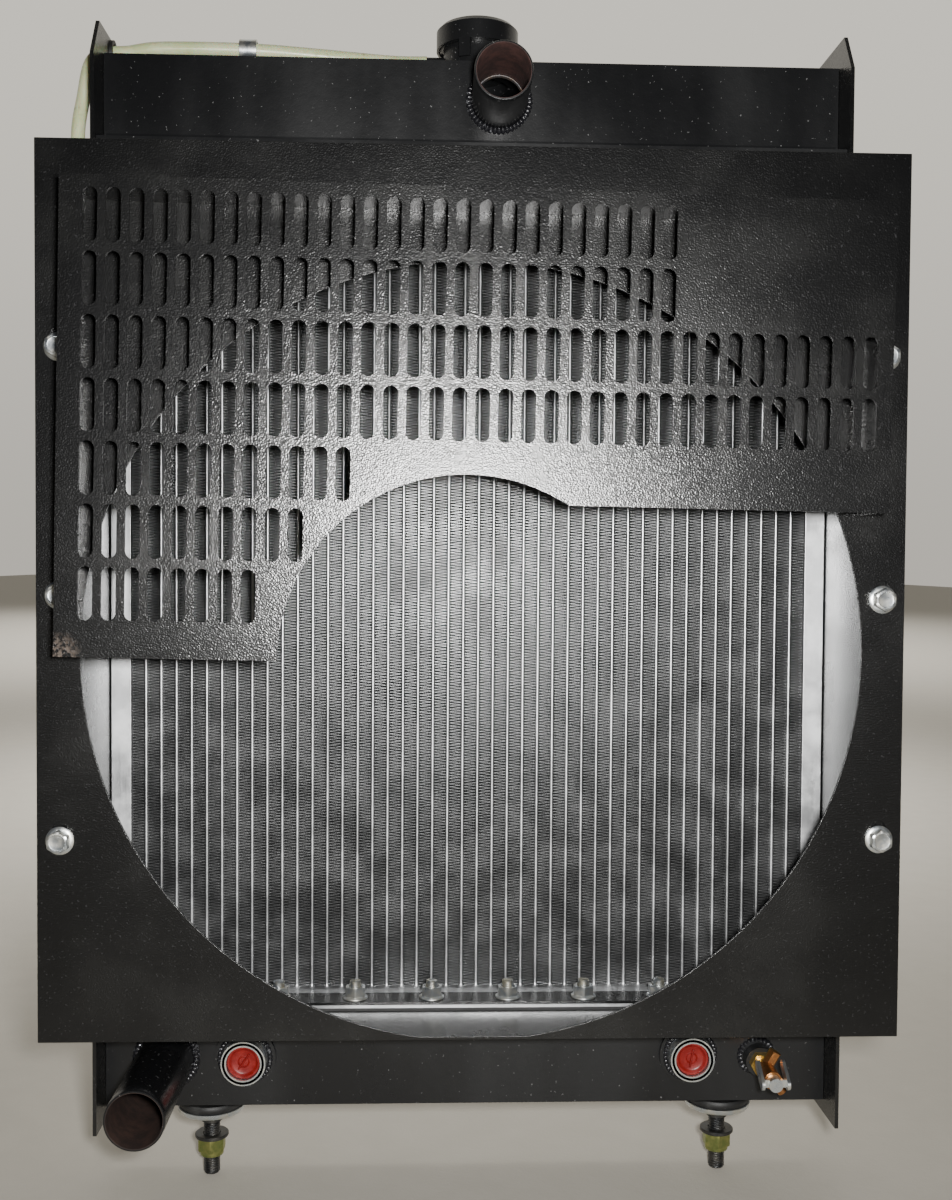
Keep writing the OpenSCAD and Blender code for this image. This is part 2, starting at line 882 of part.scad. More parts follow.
module cap_shell() {
  color(satin_black)
    translate([cap_x, 0, 0]) {
      rotate_extrude()
        polygon([
          [0, crown_low], [bell_r - cap_sheet, crown_low], [bell_r - cap_sheet, bell_low],
          [bell_r, bell_low], [bell_r, bell_z], [rim_r, bell_z], [rim_r, bell_z + cap_sheet],
          [bell_r, bell_z + cap_sheet], [bell_r, crown_low - cap_sheet],
          [cap_r - cap_sheet, crown_low - cap_sheet], [cap_r - cap_sheet, neck_top - rim_t],
          [cap_r, neck_top - rim_t], [cap_r, crown_low], [cap_r - 3, cap_top], [0, cap_top]
        ]);
      for (turn = [0, 180])
        rotate([0, 0, ear_angle + turn]) {
          translate([cap_r - cap_sheet, -ear_w / 2, ear_low])
            cube([cap_sheet, ear_w, neck_top - rim_t + eps - ear_low]);
          translate([hook_in, -ear_w / 2, neck_top - rim_t - 2.3])
            cube([cap_r - cap_sheet / 2 - hook_in, ear_w, 2]);
        }
    }
}

module cap_seal() {
  color(rubber_black)
    ring_z(cap_x, 0, seal_disc_z, rim_r - 0.5, bell_r + fit, seal_disc_t);
}

module cap_spring() {
  color(zinc)
    translate([cap_x, 0, 0])
      coil(valve_top, crown_low - valve_top, spring_r, spring_wire, spring_turns, 24, 8);
}

module pressure_valve() {
  color(brass_tone)
    ring_z(cap_x, 0, valve_z, valve_r, vacuum_hole_r, valve_plate_t);
}

module pressure_seal() {
  color(rubber_black)
    ring_z(cap_x, 0, seat_top, valve_r, vacuum_r + 1, valve_seal_t);
}

module vacuum_valve() {
  color(brass_tone)
    translate([cap_x, 0, 0]) {
      translate([0, 0, valve_z - vacuum_disc_t]) cylinder(r = vacuum_r, h = vacuum_disc_t);
      translate([0, 0, valve_z - vacuum_disc_t])
        cylinder(r = vacuum_stem_r, h = vacuum_stem_top - valve_z + vacuum_disc_t);
      translate([0, 0, vacuum_stem_top - vacuum_head_t]) cylinder(r = vacuum_head_r, h = vacuum_head_t);
    }
}

module vacuum_spring() {
  color(zinc)
    translate([cap_x, 0, 0])
      coil(valve_top, vacuum_stem_top - vacuum_head_t - valve_top, vacuum_spring_r, vacuum_wire, 4, 16, 6);
}

// ---- oil cooler ----

// The outline of one flat element, grown or shrunk by edge
module element_outline(edge) {
  r = cooler_h / 2 + edge;
  square([2 * (cooler_half + edge - r), 2 * r], center = true);
  for (side = [-1, 1])
    translate([side * (cooler_half + edge - r), 0]) circle(r = r);
}

module cooler_core() {
  color(bare_alu)
    difference() {
      union() {
        for (i = [0 : cooler_plates - 1])
          translate([0, 0, port_z])
            facing_front(cooler_y + i * cooler_pitch + cooler_plate_t, cooler_y + i * cooler_pitch)
              element_outline(0);
        for (side = [-1, 1])
          bar_y(side * port_x, port_z, column_r, -cooler_y - cooler_plate_t / 2, cooler_y + cooler_plate_t / 2);
      }
      for (i = [0 : cooler_plates - 1])
        translate([0, 0, port_z])
          facing_front(
            cooler_y + i * cooler_pitch + cooler_plate_t - cooler_skin,
            cooler_y + i * cooler_pitch + cooler_skin
          )
            element_outline(-cooler_rim);
      for (side = [-1, 1])
        bar_y(side * port_x, port_z, oil_bore_r, -cooler_y - cooler_plate_t / 2, cooler_y - eps);
    }
}

module oil_fitting(side) {
  x = side * port_x;
  front = -tank_y - port_reach;
  shoulder_back = -tank_y + tank_wall + seal_t + shoulder_t;
  color(zinc)
    difference() {
      union() {
        bar_y(x, port_z, port_r, shoulder_back, front);
        bar_y(x, port_z, shoulder_r, shoulder_back, shoulder_back - shoulder_t);
        bar_y(x, port_z, column_r - 2, cooler_y, shoulder_back);
      }
      bar_y(x, port_z, oil_bore_r, cooler_y + eps, front - eps);
      bar_y(x, port_z, port_bore_r, front + plug_recess + plug_l + 2, front - eps);
    }
}

module left_oil_fitting() {
  oil_fitting(-1);
}

module right_oil_fitting() {
  oil_fitting(1);
}

module fitting_seal(side) {
  color(rubber_black)
    tube_y(side * port_x, port_z, shoulder_r - 0.5, port_r + fit, -tank_y + tank_wall + seal_t, -tank_y + tank_wall);
}

module left_fitting_seal() {
  fitting_seal(-1);
}

module right_fitting_seal() {
  fitting_seal(1);
}

// A plug with a dished face and a stiffening rib across the dish
module port_plug(side) {
  x = side * port_x;
  r = port_bore_r - plug_gap;
  front = -tank_y - port_reach + plug_recess;
  color(red_plastic) {
    difference() {
      bar_y(x, port_z, r, front + plug_l, front);
      bar_y(x, port_z, r - 2.2, front + 4, front - eps);
    }
    translate([x - 1, front + 1.2, port_z - r + 2]) cube([2, 3, 2 * r - 4]);
  }
}

module left_port_plug() {
  port_plug(-1);
}

module right_port_plug() {
  port_plug(1);
}

// ---- drain cock ----

module drain_boss() {
  color(satin_black)
    difference() {
      union() {
        bar_y(drain_x, drain_z, drain_boss_r, -tank_y, boss_front);
        translate([drain_x, -tank_y, drain_z])
          rotate([90, 0, 0])
            cylinder(r1 = drain_boss_r + 3, r2 = drain_boss_r, h = 3);
      }
      bar_y(drain_x, drain_z, drain_thread_r, -tank_y + eps, boss_front - eps);
    }
}

module drain_body() {
  color(brass_tone)
    difference() {
      union() {
        bar_y(drain_x, drain_z, drain_thread_r - fit, -tank_y, boss_front);
        hex_y(drain_x, drain_z, drain_hex, boss_front, hex_front);
        bar_y(drain_x, drain_z, barrel_d / 2, hex_front, barrel_front);
        translate([drain_x, spout_y, drain_z])
          rotate([0, 180 - spout_lean, 0])
            cylinder(r = 3.5, h = spout_l);
        translate([drain_x, spout_y, drain_z])
          rotate([0, vent_lean, 0])
            cylinder(d = vent_hex / cos(30), h = vent_l, $fn = 6);
      }
      bar_y(drain_x, drain_z, key_r + fit, key_back, barrel_front - eps);
      bar_y(drain_x, drain_z, drain_inlet_r, -tank_y + eps, key_back - eps);
      translate([drain_x, spout_y, drain_z])
        rotate([0, 180 - spout_lean, 0])
          cylinder(r = 2, h = spout_l + eps);
    }
}

// One leg of the stirrup handle, drawn in Y and Z about the turning axis
module handle_leg(x) {
  run = norm([handle_back, handle_rise]);
  lean = atan2(handle_rise, handle_back);
  front = barrel_front - 2.3 - handle_w / 2;
  translate([x, front, drain_z])
    rotate([0, 90, 0])
      rotate([0, 0, 180 + lean])
        linear_extrude(handle_t)
          translate([0, -run / 2])
            upright_slot(handle_w, run + handle_w);
}

module drain_key() {
  bar_front = barrel_front - 2;
  color(zinc)
    difference() {
      union() {
        bar_y(drain_x, drain_z, key_r, key_back - 0.5, bar_front);
        bar_y(drain_x, drain_z, key_head_r, barrel_front - 0.3, barrel_front - key_head_l);
        handle_leg(drain_x + handle_half);
        handle_leg(drain_x - handle_half - handle_t);
        translate([drain_x - handle_half - handle_t / 2, barrel_front - 4.5, drain_z - handle_w / 2 + 1])
          cube([2 * handle_half + handle_t, 2, handle_w - 2]);
      }
      bar_y(drain_x, drain_z, 2, key_back + eps, spout_y - 2);
      translate([drain_x, spout_y, drain_z])
        rotate([0, 270 - spout_lean, 0])
          cylinder(r = 1.6, h = barrel_d);
    }
}

// ---- side plates ----

module side_outline() {
  back = side_d / 2;
  polygon([
    [-back, floor_z - side_drop], [-back, plate_z], [plate_back, plate_z], [plate_back, plate_top],
    [-back, plate_top], [-back, lid_z + side_rise - corner_h], [-back + corner_d, lid_z + side_rise],
    [back, lid_z + side_rise], [back, floor_z - side_drop]
  ]);
}

// A folded plate whose front flange carries the fan plate
module side_plate(side) {
  color(black_coat)
    difference() {
      union() {
        translate([side > 0 ? side_in : -side_out, 0, 0])
          rotate([90, 0, 90])
            linear_extrude(side_t)
              side_outline();
        translate([side > 0 ? side_in : -plate_half, plate_back, plate_z])
          cube([plate_half - side_in, side_t, plate_h]);
      }
      for (step = [-1, 0, 1])
        bar_y(side * plate_bolt_x, plate_mid + step * plate_bolt_pitch, m8_clear_r, plate_back + side_t + eps, plate_back - eps);
      for (y = [-tank_bolt_y, tank_bolt_y])
        for (z = [top_boss_z, bottom_boss_z])
          translate([side * (side_in - eps), y, z])
            rotate([0, side * 90, 0])
              cylinder(r = m8_clear_r, h = side_t + 2 * eps);
      if (side < 0)
        translate([-side_out - eps, hose_pass[1], hose_pass[2]])
          rotate([0, 90, 0])
            cylinder(r = grommet_hole_r, h = side_t + 2 * eps);
      if (side < 0)
        translate([-side_out - eps, side_clip_y, side_clip_z - 12])
          rotate([0, 90, 0])
            cylinder(r = screw_r + 0.1, h = side_t + 2 * eps);
    }
}

module left_side_plate() {
  side_plate(-1);
}

module right_side_plate() {
  side_plate(1);
}

module tank_bolts() {
  color(zinc)
    for (side = [-1, 1])
      for (y = [-tank_bolt_y, tank_bolt_y])
        for (z = [top_boss_z, bottom_boss_z])
          translate([side * side_out, y, z])
            rotate([0, side * 90, 0]) {
              cylinder(r = m8_flange_r, h = plate_bolt_flange_t);
              cylinder(d = m8_hex / cos(30), h = m8_nut_h, $fn = 6);
              translate([0, 0, -side_t - tank_bolt_l]) cylinder(r = m8_r, h = side_t + tank_bolt_l + eps);
            }
}

// ---- fan plate and guard ----

module fan_plate() {
  color(black_coat) {
    facing_front(plate_back, plate_y)
      difference() {
        translate([-plate_half, plate_z]) square([2 * plate_half, plate_h]);
        intersection() {
          translate([0, fan_z]) circle(d = fan_d, $fn = 128);
          translate([-plate_half, wall_top]) square([2 * plate_half, plate_h]);
        }
        for (side = [-1, 1])
          for (step = [-1, 0, 1])
            translate([
              side * plate_bolt_x,
              plate_mid + step * plate_bolt_pitch + (bolt_slot_l - bolt_slot_w) / 2
            ])
              upright_slot(bolt_slot_w, bolt_slot_l);
      }
    translate([-wall_half, plate_back - sheet_t / 2, plate_z])
      cube([2 * wall_half, -flange_y - seat_gap - plate_back + sheet_t / 2, sheet_t]);
    translate([-wall_half, plate_back - sheet_t / 2, plate_top - sheet_t])
      cube([2 * wall_half, -top_wall_front - plate_back + sheet_t / 2, sheet_t]);
  }
}

// True where a whole slot has enough metal round it
function slot_fits(x, z) =
  let (
    keep = slot_w / 2 + slot_edge,
    low = z - slot_l / 2,
    straight_low = low + slot_w / 2,
    to_hub = norm([x - hub_x, max(straight_low, hub_z) - hub_z])
  )
  x > guard_x0 + keep && x < guard_x1 - keep && low > guard_z0 + slot_edge
    && (x < hub_x ? to_hub > hub_r + keep : low > guard_z_right + slot_edge && to_hub > hub_r + keep);

module guard_face() {
  difference() {
    translate([guard_x0, guard_z0]) square([guard_w, guard_z1 - guard_z0]);
    translate([hub_x, guard_z0 - eps]) square([guard_w, guard_z_right - guard_z0 + eps]);
    translate([hub_x, hub_z]) circle(r = hub_r);
    for (row = [0 : len(row_slots) - 1])
      for (col = [0 : row_slots[row] - 1])
        let (x = guard_x0 + slot_first_x + col * slot_pitch_x, z = guard_z1 - slot_first_z - row * slot_pitch_z)
          if (slot_fits(x, z))
            translate([x, z]) upright_slot(slot_w, slot_l);
  }
}

// A shallow pan, open behind and below, that leans a little
module finger_guard() {
  wall = guard_depth - sheet_t / 2;
  color(black_coat)
    translate([guard_shift, 0, guard_z1])
      rotate([0, guard_turn, 0])
        translate([-guard_shift, 0, -guard_z1]) {
          facing_front(guard_y + sheet_t, guard_y) guard_face();
          translate([guard_x0, guard_y + sheet_t / 2, guard_z0]) cube([sheet_t, wall, guard_z1 - guard_z0]);
          translate([guard_x1 - sheet_t, guard_y + sheet_t / 2, guard_z_right])
            cube([sheet_t, wall, guard_z1 - guard_z_right]);
          translate([guard_x0, guard_y + sheet_t / 2, guard_z1 - sheet_t]) cube([guard_w, wall, sheet_t]);
        }
}

module at_plate_bolts() {
  for (side = [-1, 1])
    for (step = [-1, 0, 1])
      translate([side * plate_bolt_x, 0, plate_mid + step * plate_bolt_pitch])
        children();
}

module fan_plate_bolts() {
  tail = plate_back + side_t + weld_nut_h + 3;
  color(zinc)
    at_plate_bolts() {
      bar_y(0, 0, m8_r, tail, plate_y);
      bar_y(0, 0, plate_bolt_flange_r, plate_y, plate_y - plate_bolt_flange_t);
      hex_y(0, 0, m8_hex, plate_y, plate_y - plate_bolt_flange_t - plate_bolt_hex_h);
    }
}

module weld_nuts() {
  back = plate_back + side_t;
  color(zinc)
    at_plate_bolts()
      difference() {
        hex_y(0, 0, m8_hex, back + weld_nut_h, back);
        bar_y(0, 0, m8_r + fit, back + weld_nut_h + eps, back - eps);
      }
}

// ---- isolator mounts ----

module at_mounts() {
  for (side = [-1, 1])
    translate([side * mount_x, 0, 0])
      children();
}

// A channel under the tank whose lower web holds the isolator
module mount_bracket(side) {
  color(satin_black)
    translate([side * mount_x, 0, 0])
      difference() {
        translate([-bracket_w / 2, -bracket_d / 2, bracket_low])
          cube([bracket_w, bracket_d, floor_z - bracket_low]);
        translate([-bracket_w / 2 + bracket_t, -bracket_d / 2 - eps, bracket_in])
          cube([bracket_w - 2 * bracket_t, bracket_d + 2 * eps, floor_z]);
        translate([0, 0, bracket_low - eps]) cylinder(r = isolator_hole_r, h = bracket_t + 2 * eps);
      }
}

module left_mount_bracket() {
  mount_bracket(-1);
}

module right_mount_bracket() {
  mount_bracket(1);
}

// The lower rubber with the spigot that fills the bracket's hole
module lower_isolators() {
  color(rubber_black)
    at_mounts()
      difference() {
        union() {
          translate([0, 0, isolator_low]) cylinder(r = isolator_r, h = bracket_low - isolator_low);
          translate([0, 0, isolator_low]) cylinder(r = isolator_hole_r - fit, h = bracket_in - isolator_low);
        }
        cylinder(r = thread_r + 0.3, h = floor_z);
      }
}

module upper_isolators() {
  color(rubber_black)
    at_mounts()
      ring_z(0, 0, bracket_in, washer_r, thread_r + 0.3, upper_isolator_t);
}

module isolator_washers() {
  color(zinc)
    at_mounts()
      ring_z(0, 0, upper_washer_z, washer_r, thread_r + 0.3, washer_t);
}

// Shallow cups that hold the lower rubbers from below
module cup_washers() {
  color(zinc)
    at_mounts()
      difference() {
        translate([0, 0, cup_low]) cylinder(d = cup_d, h = cup_t + cup_lip);
        translate([0, 0, isolator_low]) cylinder(d = cup_d - 2 * cup_t, h = cup_lip + eps);
        translate([0, 0, cup_low - eps]) cylinder(r = thread_r + 0.3, h = cup_t + 2 * eps);
      }
}

module mount_studs() {
  color("#2f3032")
    at_mounts() {
      translate([0, 0, upper_washer_z + washer_t])
        cylinder(d = stud_hex / cos(30), h = stud_head_h, $fn = 6);
      translate([0, 0, -stud_l]) cylinder(r = thread_r, h = stud_l + upper_washer_z + washer_t + eps);
      translate([0, 0, -frame_t]) cylinder(d = stud_d, h = frame_t);
      cylinder(d = shoulder_d, h = cup_low);
    }
}

module mount_washers() {
  color(zinc)
    at_mounts()
      ring_z(0, 0, -frame_t - nut_washer_t, 12, thread_r + 0.3, nut_washer_t);
}

module mount_nuts() {
  color(olive_zinc)
    at_mounts()
      translate([0, 0, -frame_t - nut_washer_t - nut_h])
        difference() {
          cylinder(d = stud_hex / cos(30), h = nut_h, $fn = 6);
          translate([0, 0, -eps]) cylinder(r = thread_r + fit, h = nut_h + 2 * eps);
        }
}

// ---- overflow hose ----

module overflow_hose() {
  color("#9fae7f")
    difference() {
      swept_tube(smooth_path(hose_points, hose_steps), hose_r, hose_sides);
      translate([nipple_end - fit, 0, nipple_z]) rotate([0, 90, 0]) cylinder(d = nipple_d + 0.4, h = 40);
    }
}

module hose_grommet() {
  color(rubber_black)
    translate([0, hose_pass[1], hose_pass[2]])
      rotate([0, -90, 0])
        difference() {
          union() {
            translate([0, 0, side_in - 2]) cylinder(r = grommet_r, h = 2);
            translate([0, 0, side_in - 1]) cylinder(r = grommet_hole_r - fit, h = side_t + 2);
            translate([0, 0, side_out]) cylinder(r = grommet_r, h = 2);
          }
          translate([0, 0, side_in - 5]) cylinder(r = hose_r + grommet_play, h = 2 * side_t + 10);
        }
}

// A strap loop round the hose with a foot on the tank's lid
module tank_hose_clip() {
  color(zinc)
    translate([clip_x, clip_y, clip_z])
      difference() {
        union() {
          rotate([0, 90, 0]) cylinder(r = hose_r + clip_play + clip_t, h = clip_w, center = true);
          translate([-clip_w / 2, 0, lid_z - clip_z]) cube([clip_w, 22, clip_t]);
          translate([-clip_w / 2, 0, lid_z - clip_z]) cube([clip_w, clip_t, clip_z - lid_z - hose_r]);
        }
        rotate([0, 90, 0]) cylinder(r = hose_r + clip_play, h = clip_w + 2 * eps, center = true);
        translate([0, 14, lid_z - clip_z - eps]) cylinder(r = screw_r + 0.1, h = clip_t + 2 * eps);
      }
}

// The same kind of strap on the outside of the left side plate
module side_hose_clip() {
  x0 = -side_out - side_clip_x;
  color(zinc)
    translate([side_clip_x, side_clip_y, side_clip_z])
      difference() {
        union() {
          cylinder(r = hose_r + 0.4 + clip_t, h = clip_w, center = true);
          translate([x0 - clip_t, -clip_w / 2, -20]) cube([clip_t, clip_w, 20 + clip_w / 2]);
          translate([hose_r, -clip_t / 2, -clip_w / 2]) cube([x0 - hose_r, clip_t, clip_w]);
        }
        cylinder(r = hose_r + 0.4, h = clip_w + 2 * eps, center = true);
        translate([x0 - clip_t - eps, 0, -12]) rotate([0, 90, 0]) cylinder(r = screw_r + 0.1, h = clip_t + 2 * eps);
      }
}

module clip_screw(grip) {
  cylinder(r = screw_head_r, h = 2.5);
  translate([0, 0, -grip]) cylinder(r = screw_r, h = grip + eps);
}

module hose_clip_screws() {
  color("#d9d9d2") {
    translate([clip_x, clip_y + 14, lid_z + clip_t]) clip_screw(clip_t - fit);
    translate([-side_out - clip_t, side_clip_y, side_clip_z - 12]) rotate([0, -90, 0]) clip_screw(clip_t + side_t);
  }
}

top_tank();
bottom_tank();
top_gasket();
bottom_gasket();
top_header();
bottom_header();
top_clamp_strips();
bottom_clamp_strips();
top_header_bolts();
bottom_header_bolts();
top_header_nuts();
bottom_header_nuts();
coolant_tubes();
fins();
left_core_side();
right_core_side();
inlet_pipe();
outlet_pipe();
filler_neck();
cap_shell();
cap_seal();
cap_spring();
pressure_valve();
pressure_seal();
vacuum_valve();
vacuum_spring();
cooler_core();
left_oil_fitting();
right_oil_fitting();
left_fitting_seal();
right_fitting_seal();
left_port_plug();
right_port_plug();
drain_boss();
drain_body();
drain_key();
left_side_plate();
right_side_plate();
tank_bolts();
fan_plate();
finger_guard();
fan_plate_bolts();
weld_nuts();
left_mount_bracket();
right_mount_bracket();
lower_isolators();
upper_isolators();
isolator_washers();
cup_washers();
mount_studs();
mount_washers();
mount_nuts();
overflow_hose();
hose_grommet();
tank_hose_clip();
side_hose_clip();
hose_clip_screws();
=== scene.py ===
# %% [markdown]
# # A truck radiator with an oil cooler in its bottom tank
# The frame holds every steel, brass and aluminium part at its real size. This lesson gives those
# parts the things a working model leaves out: soft sheet-metal edges, weld beads, threads, fine
# fins, a real hose, and a finish for each metal. Lengths are in metres, and MM turns millimetres
# into metres.

# %% Load the frame
import json
import math
import bmesh
import bpy
import numpy as np
from mathutils import Matrix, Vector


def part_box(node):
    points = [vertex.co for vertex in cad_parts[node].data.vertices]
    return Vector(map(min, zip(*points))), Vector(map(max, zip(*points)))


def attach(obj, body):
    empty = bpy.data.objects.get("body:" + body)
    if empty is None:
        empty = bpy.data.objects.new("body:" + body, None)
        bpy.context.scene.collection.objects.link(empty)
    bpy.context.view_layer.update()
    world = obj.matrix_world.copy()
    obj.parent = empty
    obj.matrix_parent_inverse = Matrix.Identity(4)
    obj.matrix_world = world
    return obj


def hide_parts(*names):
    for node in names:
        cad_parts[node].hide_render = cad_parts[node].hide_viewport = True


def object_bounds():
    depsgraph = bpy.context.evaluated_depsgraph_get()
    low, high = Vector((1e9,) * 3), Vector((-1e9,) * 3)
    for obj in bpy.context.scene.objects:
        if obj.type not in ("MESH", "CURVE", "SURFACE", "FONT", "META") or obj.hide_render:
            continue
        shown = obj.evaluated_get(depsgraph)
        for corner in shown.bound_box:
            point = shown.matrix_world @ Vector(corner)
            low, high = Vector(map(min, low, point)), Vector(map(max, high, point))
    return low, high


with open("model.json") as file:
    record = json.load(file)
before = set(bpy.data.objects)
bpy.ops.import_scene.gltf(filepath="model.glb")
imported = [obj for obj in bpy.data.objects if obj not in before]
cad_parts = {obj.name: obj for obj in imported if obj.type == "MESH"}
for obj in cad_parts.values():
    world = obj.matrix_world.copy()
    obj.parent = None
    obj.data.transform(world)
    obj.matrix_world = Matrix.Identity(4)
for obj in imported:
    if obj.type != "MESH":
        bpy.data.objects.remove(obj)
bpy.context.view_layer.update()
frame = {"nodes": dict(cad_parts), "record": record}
nodes = frame["nodes"]
MM = 0.001
rng = np.random.default_rng(7)

# %% [markdown]
# ## The camera
# A view is a place, three turning angles and a focal length. The angles turn the camera's own
# right, forward and up directions, so the matrix is built from them and given to Blender, which
# looks along minus Z with Y up.

# %% Camera
def turn(axis, degrees):
    """A 3 by 3 turn about one axis: cosine on the two other diagonals, sine off them."""
    c, s = math.cos(math.radians(degrees)), math.sin(math.radians(degrees))
    a, b = [(1, 2), (2, 0), (0, 1)][axis]
    m = np.eye(3)
    m[a, a], m[a, b], m[b, a], m[b, b] = c, -s, s, c
    return m


YAW, PITCH, ROLL = -2.236, -1.841, -0.383
eye_place = np.array([-32.2, -945.0, 409.05]) * MM
aim = turn(2, YAW) @ turn(0, PITCH) @ turn(1, ROLL)
lens_data = bpy.data.cameras.new("camera")
lens_data.sensor_width = 36.0
lens_data.lens = 39.26
lens_data.clip_start = 0.01
camera = bpy.data.objects.new("camera", lens_data)
bpy.context.collection.objects.link(camera)
placed = np.eye(4)
placed[:3, 0], placed[:3, 1], placed[:3, 2], placed[:3, 3] = aim[:, 0], aim[:, 2], -aim[:, 1], eye_place
camera.matrix_world = Matrix(placed.tolist())
bpy.context.scene.camera = camera
print("camera at", eye_place)

# %% [markdown]
# ## Shader maths as Python
# A node tree is easier to read as an expression. A Wire holds one output socket, and adding or
# multiplying wires adds the Math nodes. Any other node comes from one method, which takes the
# node's type, its settings and what goes into its sockets.

# %% Wire and Finish
FIRST_COLOUR, SECOND_COLOUR, MIXED_COLOUR = 6, 7, 2


class Wire:
    """One output socket of a shader tree."""

    def __init__(self, tree, socket):
        self.tree = tree
        self.socket = socket

    def node(self, kind, settings=None, sockets=None, out=0):
        """Adds a node, fills its settings and sockets, and gives back one of its outputs."""
        made = self.tree.nodes.new(kind)
        for key, value in (settings or {}).items():
            setattr(made, key, value)
        for key, value in (sockets or {}).items():
            if isinstance(value, Wire):
                self.tree.links.new(value.socket, made.inputs[key])
            else:
                made.inputs[key].default_value = value
        return Wire(self.tree, made.outputs[out])

    def math(self, operation, first, second=0.0):
        return self.node("ShaderNodeMath", {"operation": operation}, {0: first, 1: second})

    def __add__(self, other):
        return self.math("ADD", self, other)

    def __radd__(self, other):
        return self.math("ADD", other, self)

    def __sub__(self, other):
        return self.math("SUBTRACT", self, other)

    def __rsub__(self, other):
        return self.math("SUBTRACT", other, self)

    def __mul__(self, other):
        return self.math("MULTIPLY", self, other)

    def __rmul__(self, other):
        return self.math("MULTIPLY", other, self)

    def power(self, other):
        return self.math("POWER", self, other)

    def within(self, low, high):
        """0 below low, 1 above high, and a soft step between."""
        return self.node(
            "ShaderNodeMapRange",
            {"interpolation_type": "SMOOTHSTEP"},
            {0: self, 1: low, 2: high, 3: 0.0, 4: 1.0},
        )

    def blend(self, share, first, second):
        """Mixes two colours, each a wire or three numbers."""
        sockets = {0: share}
        for key, tone in ((FIRST_COLOUR, first), (SECOND_COLOUR, second)):
            sockets[key] = tone if isinstance(tone, Wire) else (*tone, 1.0)
        return self.node("ShaderNodeMix", {"data_type": "RGBA"}, sockets, MIXED_COLOUR)


class Finish:
    """A material with one Principled shader, written as expressions on object coordinates."""

    def __init__(self, name):
        self.material = bpy.data.materials.new(name)
        self.material.use_nodes = True
        tree = self.material.node_tree
        self.shader = tree.nodes["Principled BSDF"]
        start = tree.nodes.new("ShaderNodeTexCoord")
        self.place = Wire(tree, start.outputs["Object"])

    def noise(self, scale, detail=3.0, rough=0.55, at=None):
        """Cloudy noise; scale is how many waves fit in a metre."""
        sockets = {"Vector": at or self.place, "Scale": scale, "Detail": detail, "Roughness": rough}
        return self.place.node("ShaderNodeTexNoise", None, sockets)

    def stretched(self, x, y, z):
        """Object coordinates with each axis scaled, to draw streaks."""
        sockets = {0: self.place, 1: (x, y, z)}
        return self.place.node("ShaderNodeVectorMath", {"operation": "MULTIPLY"}, sockets)

    def axis(self, index):
        """One of the object coordinates: 0 is x, 1 is y, 2 is z."""
        return self.place.node("ShaderNodeSeparateXYZ", None, {0: self.place}, index)

    def mix(self, share, first, second):
        """The first colour where share is 0, the second where it is 1."""
        return self.place.blend(share, first, second)

    def bump(self, height, distance, strength=1.0):
        sockets = {"Height": height, "Distance": distance, "Strength": strength}
        return self.place.node("ShaderNodeBump", None, sockets)

    def set(self, **sockets):
        """Wires or numbers into the shader's own sockets, an underscore standing for a space."""
        for key, value in sockets.items():
            socket = self.shader.inputs[key.replace("_", " ")]
            if isinstance(value, Wire):
                self.place.tree.links.new(value.socket, socket)
            else:
                socket.default_value = value
        return self.material


def from_axis(f, x, z):
    """Distance of each point from a line along Y at (x, z)."""
    dx, dz = f.axis(0) - x, f.axis(2) - z
    return (dx * dx + dz * dz).power(0.5)


print("shader helpers ready")

# %% [markdown]
# ## Black finishes
# The fan plate and guard wear a rough powder coat: sprayed dry, melted in an oven, with a grain of
# about a millimetre. A few specks where a grain stands proud are painted lighter: painted glints.
# The tanks wear a thinner sprayed enamel, smoother, with soft unevenness where it ran. Both are
# nearly black, so most of what shows is how rough they are from place to place.

# %% Powder coat and enamel
def powder_coat(name="powder_coat", worn=None):
    """Rough black coat. worn is an (x, z) corner where knocks have gone through to brown steel."""
    f = Finish(name)
    grain = f.noise(1150.0, 0.0, 0.5)
    peel = f.noise(240.0, 2.0)
    cloud = f.noise(9.0, 4.0, 0.6).within(0.42, 0.68)
    # Painted glints: a few specks where a proud grain would catch the light, lighter and a little smoother.
    painted_glint_specks = f.noise(610.0, 1.0).within(0.66, 0.76)
    tone = f.mix(cloud, (0.0050, 0.0051, 0.0053), (0.0085, 0.0086, 0.0084))
    # The glint specks are painted by lifting the colour halfway to pale grey.
    tone = f.mix(painted_glint_specks * 0.5, tone, (0.05, 0.05, 0.052))
    scuff_lines = f.noise(60.0, 5.0, 0.7, f.stretched(1.0, 1.0, 0.22)).within(0.72, 0.78)
    tone = f.mix(scuff_lines * 0.15, tone, (0.035, 0.036, 0.036))
    rough = 0.23 + 0.05 * cloud + 0.03 * peel - 0.05 * painted_glint_specks
    if worn is not None:
        near = 1.0 - from_axis(f, *worn).within(3 * MM, 15 * MM)
        bare = near * f.noise(420.0, 4.0, 0.7).within(0.40, 0.62)
        tone = f.mix(bare * 0.7, tone, (0.11, 0.075, 0.052))
        rough = rough + bare * 0.25
    return f.set(
        Base_Color=tone, Roughness=rough, Normal=f.bump(grain, 0.00020, 0.8), Specular_IOR_Level=0.62,
    )


